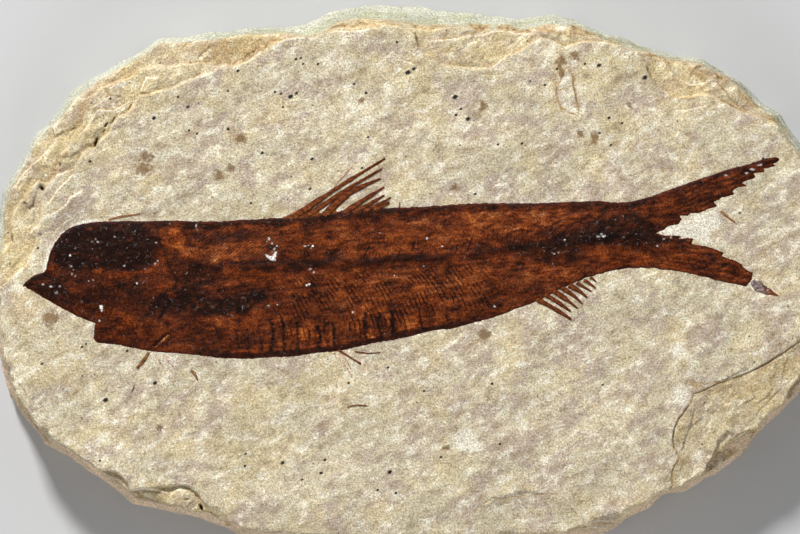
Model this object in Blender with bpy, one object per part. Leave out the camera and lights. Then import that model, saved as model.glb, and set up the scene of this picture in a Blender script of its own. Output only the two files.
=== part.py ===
"""Fossil fish slab: a small bony fish pressed flat on a trimmed, oval slab of laminated limestone.

The slab lies on its flat back at z = 0. +X runs towards the fish's tail, +Y towards its back and
+Z out of the face that carries it. The origin is under the middle of the slab. Outlines are in
millimetres, clockwise as seen from above, and become metres where meshes are made.
"""

import math

import bmesh
import bpy
from mathutils import Vector, noise

MM = 0.001

# Heights of the laminae above the flat back, in mm.
RIM_TOP = 6.9  # lowest ledge, at the top of the broken side
SHELF_TOP = 7.6  # ledge between the rim and the face
FACE_TOP = 8.2  # the face that carries the fish
LAP = 0.35  # how far one lamina reaches down into the next
STAGGER = 0.004  # between faces that would otherwise lie in one plane
WELD = 0.001  # points closer than this are one

# The fish lies in a pocket of its own shape and stands a little proud of the face.
GAP = 0.35
POCKET_FLOOR = 7.35
FISH_UNDER = POCKET_FLOOR + GAP
FISH_EDGE = FACE_TOP + 0.08
FIN_TOP = FACE_TOP + 0.04
WEB_UNDER = FISH_UNDER + 0.02
FLANK_CREST = FACE_TOP + 0.30
SPINE_CREST = FACE_TOP + 0.36

# Roughness of broken stone, in mm.
BREAK_STEP = 2.0
BREAK_SWING = 0.30
LEDGE_STEP = 1.6
LEDGE_SWING = 0.26
LEDGE_LEAN = 0.22
RAGGEDNESS = 0.83  # how quickly the push changes along the edge, per mm
LAYER_SEED = 3.1

# The broken side, from the back up: height, and how far the ring is drawn in from the outline,
# as a plain distance in mm and as a share of the side band's width.
SIDE_RINGS = (
    (0.0, 0.95, 0.0),
    (1.1, 0.15, 0.0),
    (2.2, 0.0, 0.0),
    (3.1, 0.05, 0.18),
    (3.35, 0.30, 0.20),
    (4.7, 0.10, 0.50),
    (4.95, 0.40, 0.50),
    (RIM_TOP, 0.0, 1.0),
)
BAND_PLAIN = 0.95  # width of the side band seen from above, away from its widest stretch
BAND_EXTRA = 1.25
BAND_WIDEST_AT = Vector((2.5, 31.0))
BAND_REACH = 17.0

SLAB_OUTLINE = (
    (-49.5, -1.1), (-49.3, 2), (-48.9, 5.4), (-48.1, 9.7), (-47.3, 11.2), (-45.9, 13.6),
    (-44.5, 16.4), (-42.9, 17.7), (-41.7, 19), (-40.5, 21.2), (-38.3, 22.7), (-36.2, 23.6),
    (-34.3, 24.8), (-32, 26.1), (-30.2, 27.6), (-27.4, 27.7), (-22.8, 28.3), (-18.2, 29),
    (-12.9, 29.1), (-11.6, 29.7), (-10.5, 30.4), (-7.8, 31.3), (-1.7, 31.3), (3.7, 30.7),
    (8.3, 30.2), (11.7, 29.9), (15.8, 30.5), (19.8, 29.1), (25.5, 26.8), (29.6, 25.7),
    (33.2, 25.2), (37.3, 22.7), (39.9, 20), (42, 18.7), (43.9, 15.8), (46.2, 12.9),
    (48.1, 8.9), (49.1, 5.2), (49.5, 1.5), (49.2, -2.6), (48.3, -6.8), (46.7, -10.4),
    (43.9, -14.3), (41.1, -17.1), (37.8, -20.4), (34.7, -23.1), (30.9, -25.2),
    (28.8, -25.6), (26.7, -27.1), (24.7, -28.1), (22.3, -29.9), (16.3, -30.7),
    (9.4, -31.1), (1.4, -31.4), (-7.8, -31.3), (-14.7, -30.9), (-20.5, -30.1),
    (-25.1, -28.5), (-28.5, -27.5), (-33.1, -26.4), (-36.6, -23.8), (-39.9, -21.4),
    (-43.2, -19.6), (-45.8, -16.5), (-47.5, -14), (-48.6, -10), (-49.2, -5.7),
)
SHELF_OUTLINE = (
    (-48.4, -2.8), (-48.2, 1.5), (-47.4, 5.2), (-46.4, 8), (-45.1, 10.3), (-43.6, 12.6),
    (-42.3, 13.5), (-40.7, 14.1), (-40, 15.6), (-39.3, 17.4), (-37.7, 19), (-35.2, 20.6),
    (-32.9, 22), (-30.8, 22.9), (-28.3, 23.8), (-25.1, 24.5), (-20.7, 25.7), (-17.9, 26.8),
    (-13.6, 27.4), (-9.5, 28.1), (-5.5, 28.4), (-1.5, 28.4), (2.5, 28.1), (7.1, 27.9),
    (11.7, 27.7), (15.2, 27.6), (18.6, 27.1), (21.5, 26.2), (24.4, 25.2), (27.3, 24.2),
    (30.7, 23.5), (33.4, 22.7), (35.6, 21.3), (37.7, 19.9), (39.9, 18.3), (42, 16.5),
    (43.5, 14.3), (45.1, 11.6), (46.6, 8.2), (47.6, 4.1), (47.9, -1.1), (47, -6.1),
    (44.9, -10), (42.7, -13.2), (40.4, -15.7), (38.4, -17.1), (36.5, -17.8), (35, -18.3),
    (34, -19.9), (33, -21.7), (32.2, -23.3), (30.4, -24), (28.5, -24.4), (26.7, -25.8),
    (24.6, -26.8), (22.3, -28.6), (16.3, -29.6), (9.4, -30), (1.4, -30.3), (-7.8, -30.2),
    (-14.7, -29.8),
    (-20.5, -28.8), (-23.3, -27.7), (-25.6, -27), (-28.5, -26.3), (-30.8, -25.8),
    (-32.9, -25.3), (-34.3, -24.3), (-36.3, -22.9), (-38.4, -21.2), (-40.6, -20.4),
    (-42.3, -18.9), (-44, -16.9), (-45.9, -14.3), (-47.1, -11.6), (-48, -7.4),
)
FACE_OUTLINE = (
    (-48.1, -1.6), (-46.9, -0.4), (-45, 1.1), (-44.2, 3.7), (-43.2, 7.3), (-42.1, 8.8),
    (-41.2, 10.1), (-39.8, 12.1), (-38.9, 13.6), (-37.5, 14.6), (-36.2, 16.1), (-35.1, 17.6),
    (-33.4, 18.8), (-32.3, 20.3), (-30.5, 21.3), (-27.4, 21.9), (-25.4, 22.8), (-20.5, 23.7),
    (-18.4, 25.1), (-17, 26), (-13.6, 26.8), (-10.1, 27.5), (-5.5, 27.9), (-1.5, 27.9),
    (-0.5, 27.5), (0.1, 26.1), (1.4, 25.1), (2.5, 24.2), (7.1, 23.8), (8.9, 23.9), (10, 25.2),
    (12.3, 26.1), (13.5, 26.8), (16.3, 26.4), (18.1, 26.6), (20.9, 26), (23.2, 25.3),
    (25.5, 24.6), (26.5, 23.4), (27.8, 21.6), (29.3, 20.5), (31.5, 20.4), (32.7, 20.7),
    (35, 20), (36.8, 19.1), (39.9, 17.6), (41.6, 16.2), (43.1, 14), (44.9, 11.2), (46.3, 7.8),
    (47.2, 3.8), (47.4, -1.1), (46.4, -5.4), (45, -6.8), (43.9, -7.6), (41.6, -9.1),
    (39.3, -10.4), (37, -11.7), (34.7, -12.4), (32.4, -13.2), (31.5, -14.1), (31.4, -15.2),
    (30, -16.6), (29.2, -18.7), (29.9, -20.7), (29.1, -22.6), (28.8, -23.9), (27.3, -25.2),
    (26.1, -26.2), (24.6, -26.6), (22.3, -28.2), (16.3, -29.3), (9.4, -29.8), (1.4, -30.1),
    (-7.8, -30), (-14.7, -29.6), (-18.7, -28.7), (-21.6, -28), (-23.7, -27),
    (-25.3, -25.6), (-26.5, -24.5), (-29.7, -24.2), (-32, -24.6), (-33.1, -24.5),
    (-33.8, -23.3), (-35.1, -22.5), (-37.1, -22.4), (-38.4, -21), (-40.6, -20), (-42, -18.8),
    (-43.7, -16.7), (-45.4, -14.4), (-46.6, -11.8), (-47.5, -7.4),
)

# A scar where a thin flake has come off the face, above the middle of the fish.
FLAKE_SCAR = (
    (17, 24.1), (16.4, 22.9), (16.1, 21.1), (16.1, 19.8), (17, 18.7), (18.1, 18.6),
    (18.3, 20), (18, 21.5), (17.6, 23),
)
FLAKE_DEPTH = 0.22

# Shell-shaped chips struck from the rim: middle, reach along X and Y, and depth below the face.
RIM_CHIPS = (
    ((12.6, -31.6), 7.3, 6.7, 1.7),
    ((22.8, -31.4), 4.8, 3.9, 1.5),
    ((-39.8, -22.4), 1.9, 1.7, 2.1),
    ((-35.6, -24.9), 2.1, 2.0, 2.2),
    ((-31.4, -26.8), 3.0, 2.2, 2.0),
    ((-24.4, -28.6), 2.6, 2.2, 2.1),
    ((38.4, -20.6), 4.0, 2.8, 3.2),
    ((-44.4, 16.6), 2.6, 1.8, 2.6),
    ((-20.0, 29.2), 4.6, 1.5, 2.2),
    ((31.0, 25.6), 4.4, 1.2, 2.4),
)
CHIP_TILT = math.radians(8)
CHIP_BUMP = 0.10
CHIP_BUMP_SCALE = 1.7

# Cracks where flakes are lifting: both ends on the face.
CRACKS = (
    ((-37.4, 14.8), (-36.7, 15.8)), ((-36.2, 17.0), (-35.4, 17.5)), ((-33.5, 18.9), (-32.7, 19.9)),
    ((-41.4, 12.7), (-41.9, 11.2)), ((-0.5, 27.8), (0.2, 26.1)), ((34.6, 22.2), (35.6, 20.8)),
    ((-27.5, -25.8), (-26.2, -25.9)), ((-47.0, 5.1), (-46.6, 4.0)),
)
CRACK_WIDTH = 0.3
CRACK_DEPTH = 1.3
CRACK_FOOT = 0.3  # width at its bottom, as a share of the width at the top

FISH_BACK = (
    (-45.5, -1.2), (-44.6, -0.3), (-42.9, 0.6), (-42.3, 2.6), (-40.8, 4.9), (-38.3, 6),
    (-34.3, 6.2), (-28.3, 6.3), (-21.2, 6.3), (-16, 6.6), (-10.1, 7.2), (-4.5, 7.7),
    (1.8, 8), (6.9, 8.3), (15.8, 8.4), (23.2, 8.4), (26.9, 9.1), (30.4, 10.4),
    (35.6, 12.2), (39.7, 13.4), (41.9, 13.4),
)
TAIL_EDGE = (
    (39.8, 11.8), (38.2, 10.6), (36.2, 9.3), (34.1, 8.2), (32.2, 7.2), (30.2, 6.6),
    (28.6, 5.5), (27.3, 4.8), (28.8, 4.5), (31.7, 4), (33.1, 3.1), (35.2, 2.4),
    (37.1, 1.2), (38.5, 0.1),
)
FISH_BELLY = (
    (37.8, -1.4), (34.8, -0.7), (32.2, 0), (28.6, 0.6), (25.6, 0.9), (21.7, 0.4),
    (17.7, -1), (13.8, -3), (8.9, -4.8), (5.9, -5.6), (1.6, -6.4), (-2.3, -7.3),
    (-8.3, -8.6), (-12.4, -9.1), (-17.1, -9.4), (-22.5, -9.5), (-28.3, -8.9),
    (-32.2, -8.5), (-35, -8),
)
THROAT_CORNER = ((-36.8, -7.8), (-37.3, -7.1))
JAW = ((-37.2, -5.6), (-38.8, -4.9), (-40.1, -4.2), (-42.1, -3.2), (-44.2, -1.9))
FISH_OUTLINE = FISH_BACK + TAIL_EDGE + FISH_BELLY + THROAT_CORNER + JAW
FISH_STEP = 1.6
FISH_SWING = 0.07
FISH_SEED = 0.5

# Fin webs, each reaching a little into the body.
DORSAL_WEB = (
    (-16, 6.2), (-14.1, 7.4), (-12.2, 8.4), (-10.2, 9.8), (-8.2, 11), (-6.3, 12.1),
    (-3.9, 13.4), (-4.2, 12.3), (-4, 11.1), (-3.9, 10.2), (-3.8, 9.3), (-3.2, 8.8), (-3.2, 7.2),
)
ANAL_WEB = (
    (19.9, 0.2), (20.4, -0.6), (20.3, -1.6), (19.7, -2.3), (19.2, -2.9), (18.6, -3.6),
    (17.9, -4.2), (17.6, -5), (13.9, -2.6),
)
PELVIC_WEB = ((-4.3, -7.6), (-4.3, -9.1), (-5.9, -9.6), (-6.8, -10.2), (-8.6, -9.4), (-10, -8.2))
PECTORAL_WEB = ((-29.4, -8.4), (-30.4, -9.6), (-32, -10.8), (-32.4, -10.6), (-31.4, -8.1))
FIN_WEBS = (DORSAL_WEB, ANAL_WEB, PELVIC_WEB, PECTORAL_WEB)

# Fin rays stand on the webs: root, tip, and thickness at the root.
DORSAL_ROOTS = ((-15.4, 6.4), (-3.9, 7.6))
DORSAL_TIPS = ((-4.1, 13.2), (-4.4, 12.1), (-4.4, 11.1), (-4.2, 10.2), (-4.1, 9.4), (-3.6, 8.7))
ANAL_ROOTS = ((14.6, -2.9), (19.8, -0.2))
ANAL_TIPS = ((17.5, -4.8), (17.7, -4.2), (18.3, -3.7), (18.9, -3), (19.4, -2.4), (19.9, -1.8))
RAY_RADIUS = 0.14
UPPER_LOBE_ROOTS = ((25.6, 8.0), (26.6, 5.3))
LOWER_LOBE_ROOTS = ((26.6, 4.4), (25.8, 1.6))
UPPER_LOBE_TIPS = ((39.6, 12.9), (37.2, 10.6), (34.3, 8.7), (31.4, 7.3))
LOWER_LOBE_TIPS = ((31.2, 3.7), (34.1, 2.1), (36.4, 0.9), (36.6, -0.5))
LOOSE_RAYS = (
    ((-9.2, -8.5), (-6.8, -9.9)), ((-8.7, -8.5), (-4.7, -8.9)), ((-31.1, -8.5), (-32.1, -10.5)),
)
RAY_TOP = FISH_EDGE + 0.02
RAY_TIP_TOP = FIN_TOP + 0.01
RAY_SAG = 0.12  # how far a ray's middle hangs below the straight line

# The flank is a low loft between the back and the belly: x, belly y, back y, crest height.
FLANK_START, FLANK_END = -44.6, 27.6
FLANK_SPACING = 0.8  # least distance between its cross-sections
FLANK_INSET = 0.4
FLANK_TAPER = 9.0  # length over which the vault rises from either end
FLANK_BLUNT = 0.6  # length of the taper missing at either end
FLANK_FOOT = FISH_UNDER + 0.1
FLANK_SINK = 0.03  # how far its edge lies below the body's
FLANK_UNEVEN = 0.25
FLANK_ACROSS = (0.0, 0.12, 0.30, 0.52, 0.74, 0.90, 1.0)
FLANK_LIFT = (0.0, 0.62, 0.80, 1.0, 0.82, 0.64, 0.0)

SPINE = ((-29.6, 1.2), (-16, 0.9), (-2, 1.9), (10, 3.1), (19, 4.1), (26.5, 4.9))
SPINE_RADIUS = 0.26
SPINE_SUNK = 0.55  # share of its radius below the crest
RIB_START, RIB_END, RIB_PITCH = -26.5, 1.5, 1.5
RIB_REACH = 0.62  # how far a rib runs from the belly to the spine
RIB_SWEEP = 1.6
RIB_RADIUS = 0.13
RIB_FROM_SPINE, RIB_FROM_BELLY = 1.2, 0.7
RIB_TOP, RIB_FOOT_TOP = FLANK_CREST - 0.09, FISH_EDGE + 0.10
CHEVRON_START, CHEVRON_END, CHEVRON_PITCH = 2.5, 24.0, 1.55
CHEVRON_SWEEP = 1.2
CHEVRON_REACH = 0.55  # how far a chevron runs from the spine to the back
CHEVRON_RADIUS = 0.12
CHEVRON_TOP, CHEVRON_TIP_TOP = FLANK_CREST - 0.06, FLANK_CREST - 0.12

# Bones of the head: middle, reach along X and Y, turn, and height above the face.
HEAD_BONES = (
    ((-36.4, 2.6), 4.9, 2.6, -4, 0.34),  # skull roof
    ((-30.6, 2.4), 2.0, 2.8, 10, 0.33),  # back of the skull
    ((-39.6, -0.9), 4.8, 1.7, -12, 0.30),  # cheek
    ((-33.6, -2.1), 4.6, 3.2, 0, 0.28),  # gill cover
    ((-33.6, -6.1), 3.0, 1.3, 6, 0.22),  # throat plate
)
HEAD_SINK = 0.5
HEAD_CUT = 0.1  # height of a bone's flat underside above its middle

TAIL_TIP_OUTLINE = ((38.6, -0.85), (39.3, -0.7), (40.2, -1.4), (41.5, -2.4), (40.5, -2.3), (39, -1.8))

# Loose slivers of bone: both ends and width.
SLIVERS = (
    ((-35.4, 6.85), (-32.1, 7.35), 0.34),
    ((34.8, 7.4), (36.5, 6.1), 0.30),
    ((-8.1, -15.1), (-5.8, -15.1), 0.30),
    ((-26.2, -10.9), (-25.3, -12.1), 0.26),
    ((-32.9, -13.4), (-32.6, -12.7), 0.26),
)
SLIVER_TOP = FACE_TOP + 0.12
SLIVER_UNDER = FISH_UNDER + 0.1
SLIVER_WIDEST = 0.35  # how far along it is widest
SLIVER_END = 0.3  # width of its first end, as a share of the greatest

# Colours as linear RGB, and roughness.
LIMESTONE = ((0.60, 0.52, 0.36), 0.85)
FISH_BONE = ((0.075, 0.018, 0.006), 0.30)
PALE_BONE = ((0.16, 0.085, 0.04), 0.55)


def clear_scene():
    for old in list(bpy.data.objects):
        bpy.data.objects.remove(old, do_unlink=True)


def collection(name):
    made = bpy.data.collections.new(name)
    bpy.context.scene.collection.children.link(made)
    return made


def material(name, finish):
    colour, roughness = finish
    made = bpy.data.materials.new(name)
    made.use_nodes = True
    shader = made.node_tree.nodes["Principled BSDF"]
    shader.inputs["Base Color"].default_value = (*colour, 1)
    shader.inputs["Roughness"].default_value = roughness
    shader.inputs["Metallic"].default_value = 0
    return made


def ragged(outline, step, swing, seed):
    """The outline with a point about every step, each pushed off its edge as broken stone is."""
    points = []
    for (x, y), (x2, y2) in zip(outline, outline[1:] + outline[:1]):
        length = math.hypot(x2 - x, y2 - y)
        parts = max(1, round(length / step))
        side = Vector((y - y2, x2 - x)) / length
        for k in range(parts):
            spot = Vector((x, y)).lerp(Vector((x2, y2)), k / parts)
            push = swing * noise.noise(Vector((spot.x, spot.y, seed)) * RAGGEDNESS)
            points.append(tuple(spot + side * push))
    return tuple(points)


def offset(outline, distance, longest=2.2):
    """The outline moved outwards by distance, with its sharp corners held to longest times that."""
    moved = []
    for before, here, after in zip(outline[-1:] + outline[:-1], outline, outline[1:] + outline[:1]):
        a = (Vector(here) - Vector(before)).normalized()
        b = (Vector(after) - Vector(here)).normalized()
        out_a, out_b = Vector((-a.y, a.x)), Vector((-b.y, b.x))
        middle = (out_a + out_b).normalized()
        reach = 1 / max(1 / longest, middle.dot(out_a))
        moved.append(tuple(Vector(here) + middle * distance * reach))
    return tuple(moved)


def drawn_in(outline, plain, share):
    """The outline pulled towards the middle, further where the side band is widest."""
    pulled = []
    for point in outline:
        spot = Vector(point)
        near = math.exp(-(((spot - BAND_WIDEST_AT).length / BAND_REACH) ** 2))
        width = plain + share * (BAND_PLAIN + BAND_EXTRA * near)
        pulled.append(tuple(spot * (1 - width / spot.length)))
    return tuple(pulled)


def new_object(name, bm, where):
    bmesh.ops.recalc_face_normals(bm, faces=bm.faces)
    mesh = bpy.data.meshes.new(name)
    bm.to_mesh(mesh)
    bm.free()
    made = bpy.data.objects.new(name, mesh)
    where.objects.link(made)
    return made


def as_mesh(curve_object, where):
    """A curve object turned into a welded mesh, which a Boolean can use."""
    bpy.context.view_layer.update()
    evaluated = curve_object.evaluated_get(bpy.context.evaluated_depsgraph_get())
    bm = bmesh.new()
    bm.from_mesh(bpy.data.meshes.new_from_object(evaluated))
    bmesh.ops.remove_doubles(bm, verts=bm.verts, dist=WELD * MM)
    name = curve_object.name
    bpy.data.objects.remove(curve_object, do_unlink=True)
    return new_object(name, bm, where)


def poly_curve(name, points, where, cyclic):
    data = bpy.data.curves.new(name, "CURVE")
    spline = data.splines.new("POLY")
    spline.points.add(len(points) - 1)
    for slot, point in zip(spline.points, points):
        x, y, z = (*point, 0)[:3]
        slot.co = (x * MM, y * MM, z * MM, 1)
    spline.use_cyclic_u = cyclic
    made = bpy.data.objects.new(name, data)
    where.objects.link(made)
    return made


def plate(name, outline, bottom, top, where):
    """A flat outline as thick as bottom to top."""
    made = poly_curve(name, outline, where, cyclic=True)
    made.data.dimensions = "2D"
    made.data.fill_mode = "BOTH"
    made.data.extrude = (top - bottom) / 2 * MM
    flat = as_mesh(made, where)
    for vertex in flat.data.vertices:
        vertex.co.z += (top + bottom) / 2 * MM
    return flat


def ridge(name, points, radius, where, tip=0.45):
    """A thin raised bone or ray, half sunk in what carries it, that narrows to its tip."""
    made = poly_curve(name, points, where, cyclic=False)
    made.data.dimensions = "3D"
    made.data.bevel_depth = radius * MM
    made.data.bevel_resolution = 0
    made.data.use_fill_caps = True
    for k, slot in enumerate(made.data.splines[0].points):
        slot.radius = 1 + (tip - 1) * k / (len(points) - 1)
    return as_mesh(made, where)


def loft(name, rings, where):
    """A closed solid through rings of equally many points, capped at both ends."""
    bm = bmesh.new()
    loops = [[bm.verts.new(Vector(p) * MM) for p in ring] for ring in rings]
    for low, high in zip(loops, loops[1:]):
        for k in range(len(low)):
            n = (k + 1) % len(low)
            bm.faces.new((low[k], low[n], high[n], high[k]))
    bm.faces.new(loops[0])
    bm.faces.new(loops[-1])
    return new_object(name, bm, where)


def lamina(name, outline, bottom, top, seed, where):
    """One layer of stone, with a broken edge that leans in a little towards its top."""
    broken = ragged(outline, LEDGE_STEP, LEDGE_SWING, seed)
    upper = offset(broken, -LEDGE_LEAN, longest=1.0)
    return loft(name, [[(x, y, bottom) for x, y in broken], [(x, y, top) for x, y in upper]], where)


def combine(target, others, operation):
    """Joins others to target, or cuts them from it, and keeps the result as target's mesh."""
    for other in others:
        change = target.modifiers.new(other.name, "BOOLEAN")
        change.operation = operation
        change.solver = "EXACT"
        change.object = other
    bpy.context.view_layer.update()
    evaluated = target.evaluated_get(bpy.context.evaluated_depsgraph_get())
    result = bpy.data.meshes.new_from_object(evaluated)
    target.modifiers.clear()
    target.data = result
    for other in others:
        other.hide_render = True
        other.display_type = "WIRE"


def broken_side(where):
    rings = []
    for level, (height, plain, share) in enumerate(SIDE_RINGS):
        broken = ragged(SLAB_OUTLINE, BREAK_STEP, BREAK_SWING, LAYER_SEED * (level // 2))
        rings.append([(x, y, height) for x, y in drawn_in(broken, plain, share)])
    return loft("limestone_slab", rings, where)


def rim_chips(where):
    chips = []
    for k, ((x, y), reach_x, reach_y, depth) in enumerate(RIM_CHIPS):
        bm = bmesh.new()
        bmesh.ops.create_uvsphere(bm, u_segments=14, v_segments=8, radius=1)
        for vertex in bm.verts:
            bump = 1 + CHIP_BUMP * noise.noise(vertex.co * CHIP_BUMP_SCALE + Vector((k, 0, 0)))
            vertex.co *= bump * MM
            vertex.co *= Vector((reach_x, reach_y, depth))
        chip = new_object(f"chip_{k + 1}", bm, where)
        chip.location = (x * MM, y * MM, (FACE_TOP + 0.1) * MM)
        outwards = Vector((-y, x, 0)).normalized()
        chip.rotation_euler = (outwards.x * CHIP_TILT, outwards.y * CHIP_TILT, 0)
        chips.append(chip)
    return chips


def cracks(where):
    made = []
    for k, (start, end) in enumerate(CRACKS):
        run = Vector(end) - Vector(start)
        middle = (Vector(start) + Vector(end)) / 2
        bm = bmesh.new()
        bmesh.ops.create_cube(bm, size=1)
        for vertex in bm.verts:
            narrow = 1 if vertex.co.z > 0 else CRACK_FOOT
            vertex.co.x *= run.length * MM
            vertex.co.y *= CRACK_WIDTH * narrow * MM
            vertex.co.z *= 2 * CRACK_DEPTH * MM
        crack = new_object(f"crack_{k + 1}", bm, where)
        crack.location = (middle.x * MM, middle.y * MM, FACE_TOP * MM)
        crack.rotation_euler = (0, 0, math.atan2(run.y, run.x))
        made.append(crack)
    return made


def sliver_outline(start, end, width):
    """A thin lozenge of bone, widest a third of the way along."""
    a, b = Vector(start), Vector(end)
    side = Vector((a.y - b.y, b.x - a.x)).normalized() * width / 2
    belly, end = a.lerp(b, SLIVER_WIDEST), side * SLIVER_END
    return tuple(tuple(p) for p in (a - end, a + end, belly + side, b, belly - side))


def fish_edge():
    return ragged(FISH_OUTLINE, FISH_STEP, FISH_SWING, FISH_SEED)


def pockets(where):
    """What the fish, its loose tail tip and the slivers lie in, each wider all round by the gap."""
    outlines = [fish_edge(), TAIL_TIP_OUTLINE, *FIN_WEBS]
    outlines += [sliver_outline(*sliver) for sliver in SLIVERS]
    made = []
    for k, outline in enumerate(outlines):
        floor = POCKET_FLOOR + STAGGER * k
        made.append(plate(f"pocket_{k + 1}", offset(outline, GAP), floor, FACE_TOP + 1, where))
    return made


def limestone_slab(parts, cutters):
    slab = broken_side(parts)
    shelf = lamina("shelf", SHELF_OUTLINE, RIM_TOP - LAP, SHELF_TOP, 7.7, cutters)
    face = lamina("face", FACE_OUTLINE, SHELF_TOP - LAP, FACE_TOP, 12.3, cutters)
    combine(slab, [shelf, face], "UNION")
    scar = plate("flake_scar", FLAKE_SCAR, FACE_TOP - FLAKE_DEPTH, FACE_TOP + 1, cutters)
    combine(slab, [*rim_chips(cutters), *cracks(cutters), scar], "DIFFERENCE")
    combine(slab, pockets(cutters), "DIFFERENCE")
    slab.data.materials.clear()
    slab.data.materials.append(material("limestone", LIMESTONE))
    return slab


def height_between(outline_run, x):
    """The y of a run of outline points at x; the run goes one way along X."""
    run = sorted(outline_run)
    for (x1, y1), (x2, y2) in zip(run, run[1:]):
        if x1 <= x <= x2 and x2 > x1:
            return y1 + (y2 - y1) * (x - x1) / (x2 - x1)
    return run[0][1] if x < run[0][0] else run[-1][1]


def belly_at(x):
    return height_between(FISH_BELLY + JAW + FISH_BACK[:1], x)


def back_at(x):
    return height_between(FISH_BACK, x)


def spine_at(x):
    return height_between(SPINE, x)


def flank_stations():
    """A cross-section wherever the back or the belly turns, so that the loft keeps inside both."""
    stations = [FLANK_START]
    for x in sorted(p[0] for p in FISH_BACK + FISH_BELLY + JAW):
        if stations[-1] + FLANK_SPACING < x < FLANK_END - FLANK_SPACING:
            stations.append(x)
    return [*stations, FLANK_END]


def flank(where):
    """The swell of the body: a low vault between belly and back, with the spine as its crest."""
    rings = []
    crest = FLANK_CREST - FISH_EDGE
    for x in flank_stations():
        low, high = belly_at(x) + FLANK_INSET, back_at(x) - FLANK_INSET
        from_end = min(x - FLANK_START, FLANK_END - x) + FLANK_BLUNT
        ends = min(1, from_end / FLANK_TAPER)
        ring = [(x, low, FLANK_FOOT)]
        for across, lift in zip(FLANK_ACROSS, FLANK_LIFT):
            swell = 1 + FLANK_UNEVEN * noise.noise(Vector((x * 0.5, across * 4, 2.0)))
            rise = crest * lift * ends * swell - FLANK_SINK
            ring.append((x, low + (high - low) * across, FISH_EDGE + rise))
        ring.append((x, high, FLANK_FOOT))
        rings.append(ring)
    return loft("flank", rings, where)


def bone_dome(k, bone, where):
    (x, y), reach_x, reach_y, turn, height = bone
    bm = bmesh.new()
    bmesh.ops.create_uvsphere(bm, u_segments=16, v_segments=8, radius=1)
    for vertex in bm.verts:
        vertex.co.x *= reach_x * MM
        vertex.co.y *= reach_y * MM
        vertex.co.z *= (height + HEAD_SINK) * MM
    bmesh.ops.bisect_plane(
        bm, geom=bm.verts[:] + bm.edges[:] + bm.faces[:], plane_co=(0, 0, HEAD_CUT * MM),
        plane_no=(0, 0, -1), clear_outer=True,
    )
    bmesh.ops.contextual_create(bm, geom=[e for e in bm.edges if e.is_boundary])
    dome = new_object(f"head_bone_{k + 1}", bm, where)
    dome.location = (x * MM, y * MM, (FACE_TOP - HEAD_SINK) * MM)
    dome.rotation_euler = (0, 0, math.radians(turn))
    return dome


def fan(roots, tips, first):
    """Rays whose roots are spread along a line and whose tips are given: numbered root-tip pairs."""
    start, end = Vector(roots[0]), Vector(roots[1])
    pairs = []
    for k, tip in enumerate(tips):
        root = start.lerp(end, (k + 0.5) / len(tips))
        pairs.append((f"ray_{first + k}", root, Vector(tip)))
    return pairs


def fin_rays(where):
    rays = fan(DORSAL_ROOTS, DORSAL_TIPS, 1) + fan(ANAL_ROOTS, ANAL_TIPS, 11)
    rays += fan(UPPER_LOBE_ROOTS, UPPER_LOBE_TIPS, 21) + fan(LOWER_LOBE_ROOTS, LOWER_LOBE_TIPS, 31)
    rays += [(f"ray_{41 + k}", Vector(root), Vector(tip)) for k, (root, tip) in enumerate(LOOSE_RAYS)]
    raised = []
    for name, root, tip in rays:
        middle = root.lerp(tip, 0.5) - Vector((0, RAY_SAG))
        points = [(*root, RAY_TOP), (*middle, RAY_TOP), (*tip, RAY_TIP_TOP)]
        raised.append(ridge(name, points, RAY_RADIUS, where))
    return raised


def spine(where):
    points = [(x, y, SPINE_CREST - SPINE_RADIUS * SPINE_SUNK) for x, y in SPINE]
    return ridge("spine", points, SPINE_RADIUS, where, tip=0.6)


def ribs(where):
    raised = []
    for k in range(round((RIB_END - RIB_START) / RIB_PITCH)):
        x = RIB_START + RIB_PITCH * k
        foot_x = x + RIB_SWEEP
        head_y, foot_y = spine_at(x) - RIB_FROM_SPINE, belly_at(foot_x) + RIB_FROM_BELLY
        start_y = foot_y + (head_y - foot_y) * RIB_REACH
        points = [(x, start_y, RIB_TOP), (foot_x, foot_y, RIB_FOOT_TOP)]
        raised.append(ridge(f"rib_{k + 1}", points, RIB_RADIUS, where, tip=0.8))
    return raised


def chevrons(where):
    """Thin spines that lean back from the backbone in the rear half of the body."""
    raised = []
    for k in range(round((CHEVRON_END - CHEVRON_START) / CHEVRON_PITCH)):
        x = CHEVRON_START + CHEVRON_PITCH * k
        rise = CHEVRON_REACH * (back_at(x) - spine_at(x))
        root = (x, spine_at(x) + 0.2, CHEVRON_TOP)
        tip = (x + CHEVRON_SWEEP, spine_at(x) + rise, CHEVRON_TIP_TOP)
        raised.append(ridge(f"chevron_{k + 1}", [root, tip], CHEVRON_RADIUS, where))
    return raised


def fossil_fish(parts, cutters):
    fish = plate("fossil_fish", fish_edge(), FISH_UNDER, FISH_EDGE, parts)
    webs = []
    for k, web in enumerate(FIN_WEBS):
        apart = STAGGER * k
        webs.append(plate(f"web_{k + 1}", web, WEB_UNDER + apart, FIN_TOP - apart, cutters))
    bones = [bone_dome(k, bone, cutters) for k, bone in enumerate(HEAD_BONES)]
    raised = [*fin_rays(cutters), spine(cutters), *ribs(cutters), *chevrons(cutters)]
    combine(fish, [*webs, flank(cutters), *bones, *raised], "UNION")
    fish.data.materials.clear()
    fish.data.materials.append(material("fish_bone", FISH_BONE))
    return fish


def loose_bones(parts):
    tip = plate("tail_tip", TAIL_TIP_OUTLINE, FISH_UNDER, FISH_EDGE, parts)
    tip.data.materials.append(material("tail_tip_bone", FISH_BONE))
    for k, sliver in enumerate(SLIVERS):
        outline = sliver_outline(*sliver)
        bone = plate(f"bone_sliver_{k + 1}", outline, SLIVER_UNDER, SLIVER_TOP, parts)
        bone.data.materials.append(material(f"sliver_bone_{k + 1}", PALE_BONE))


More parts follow.
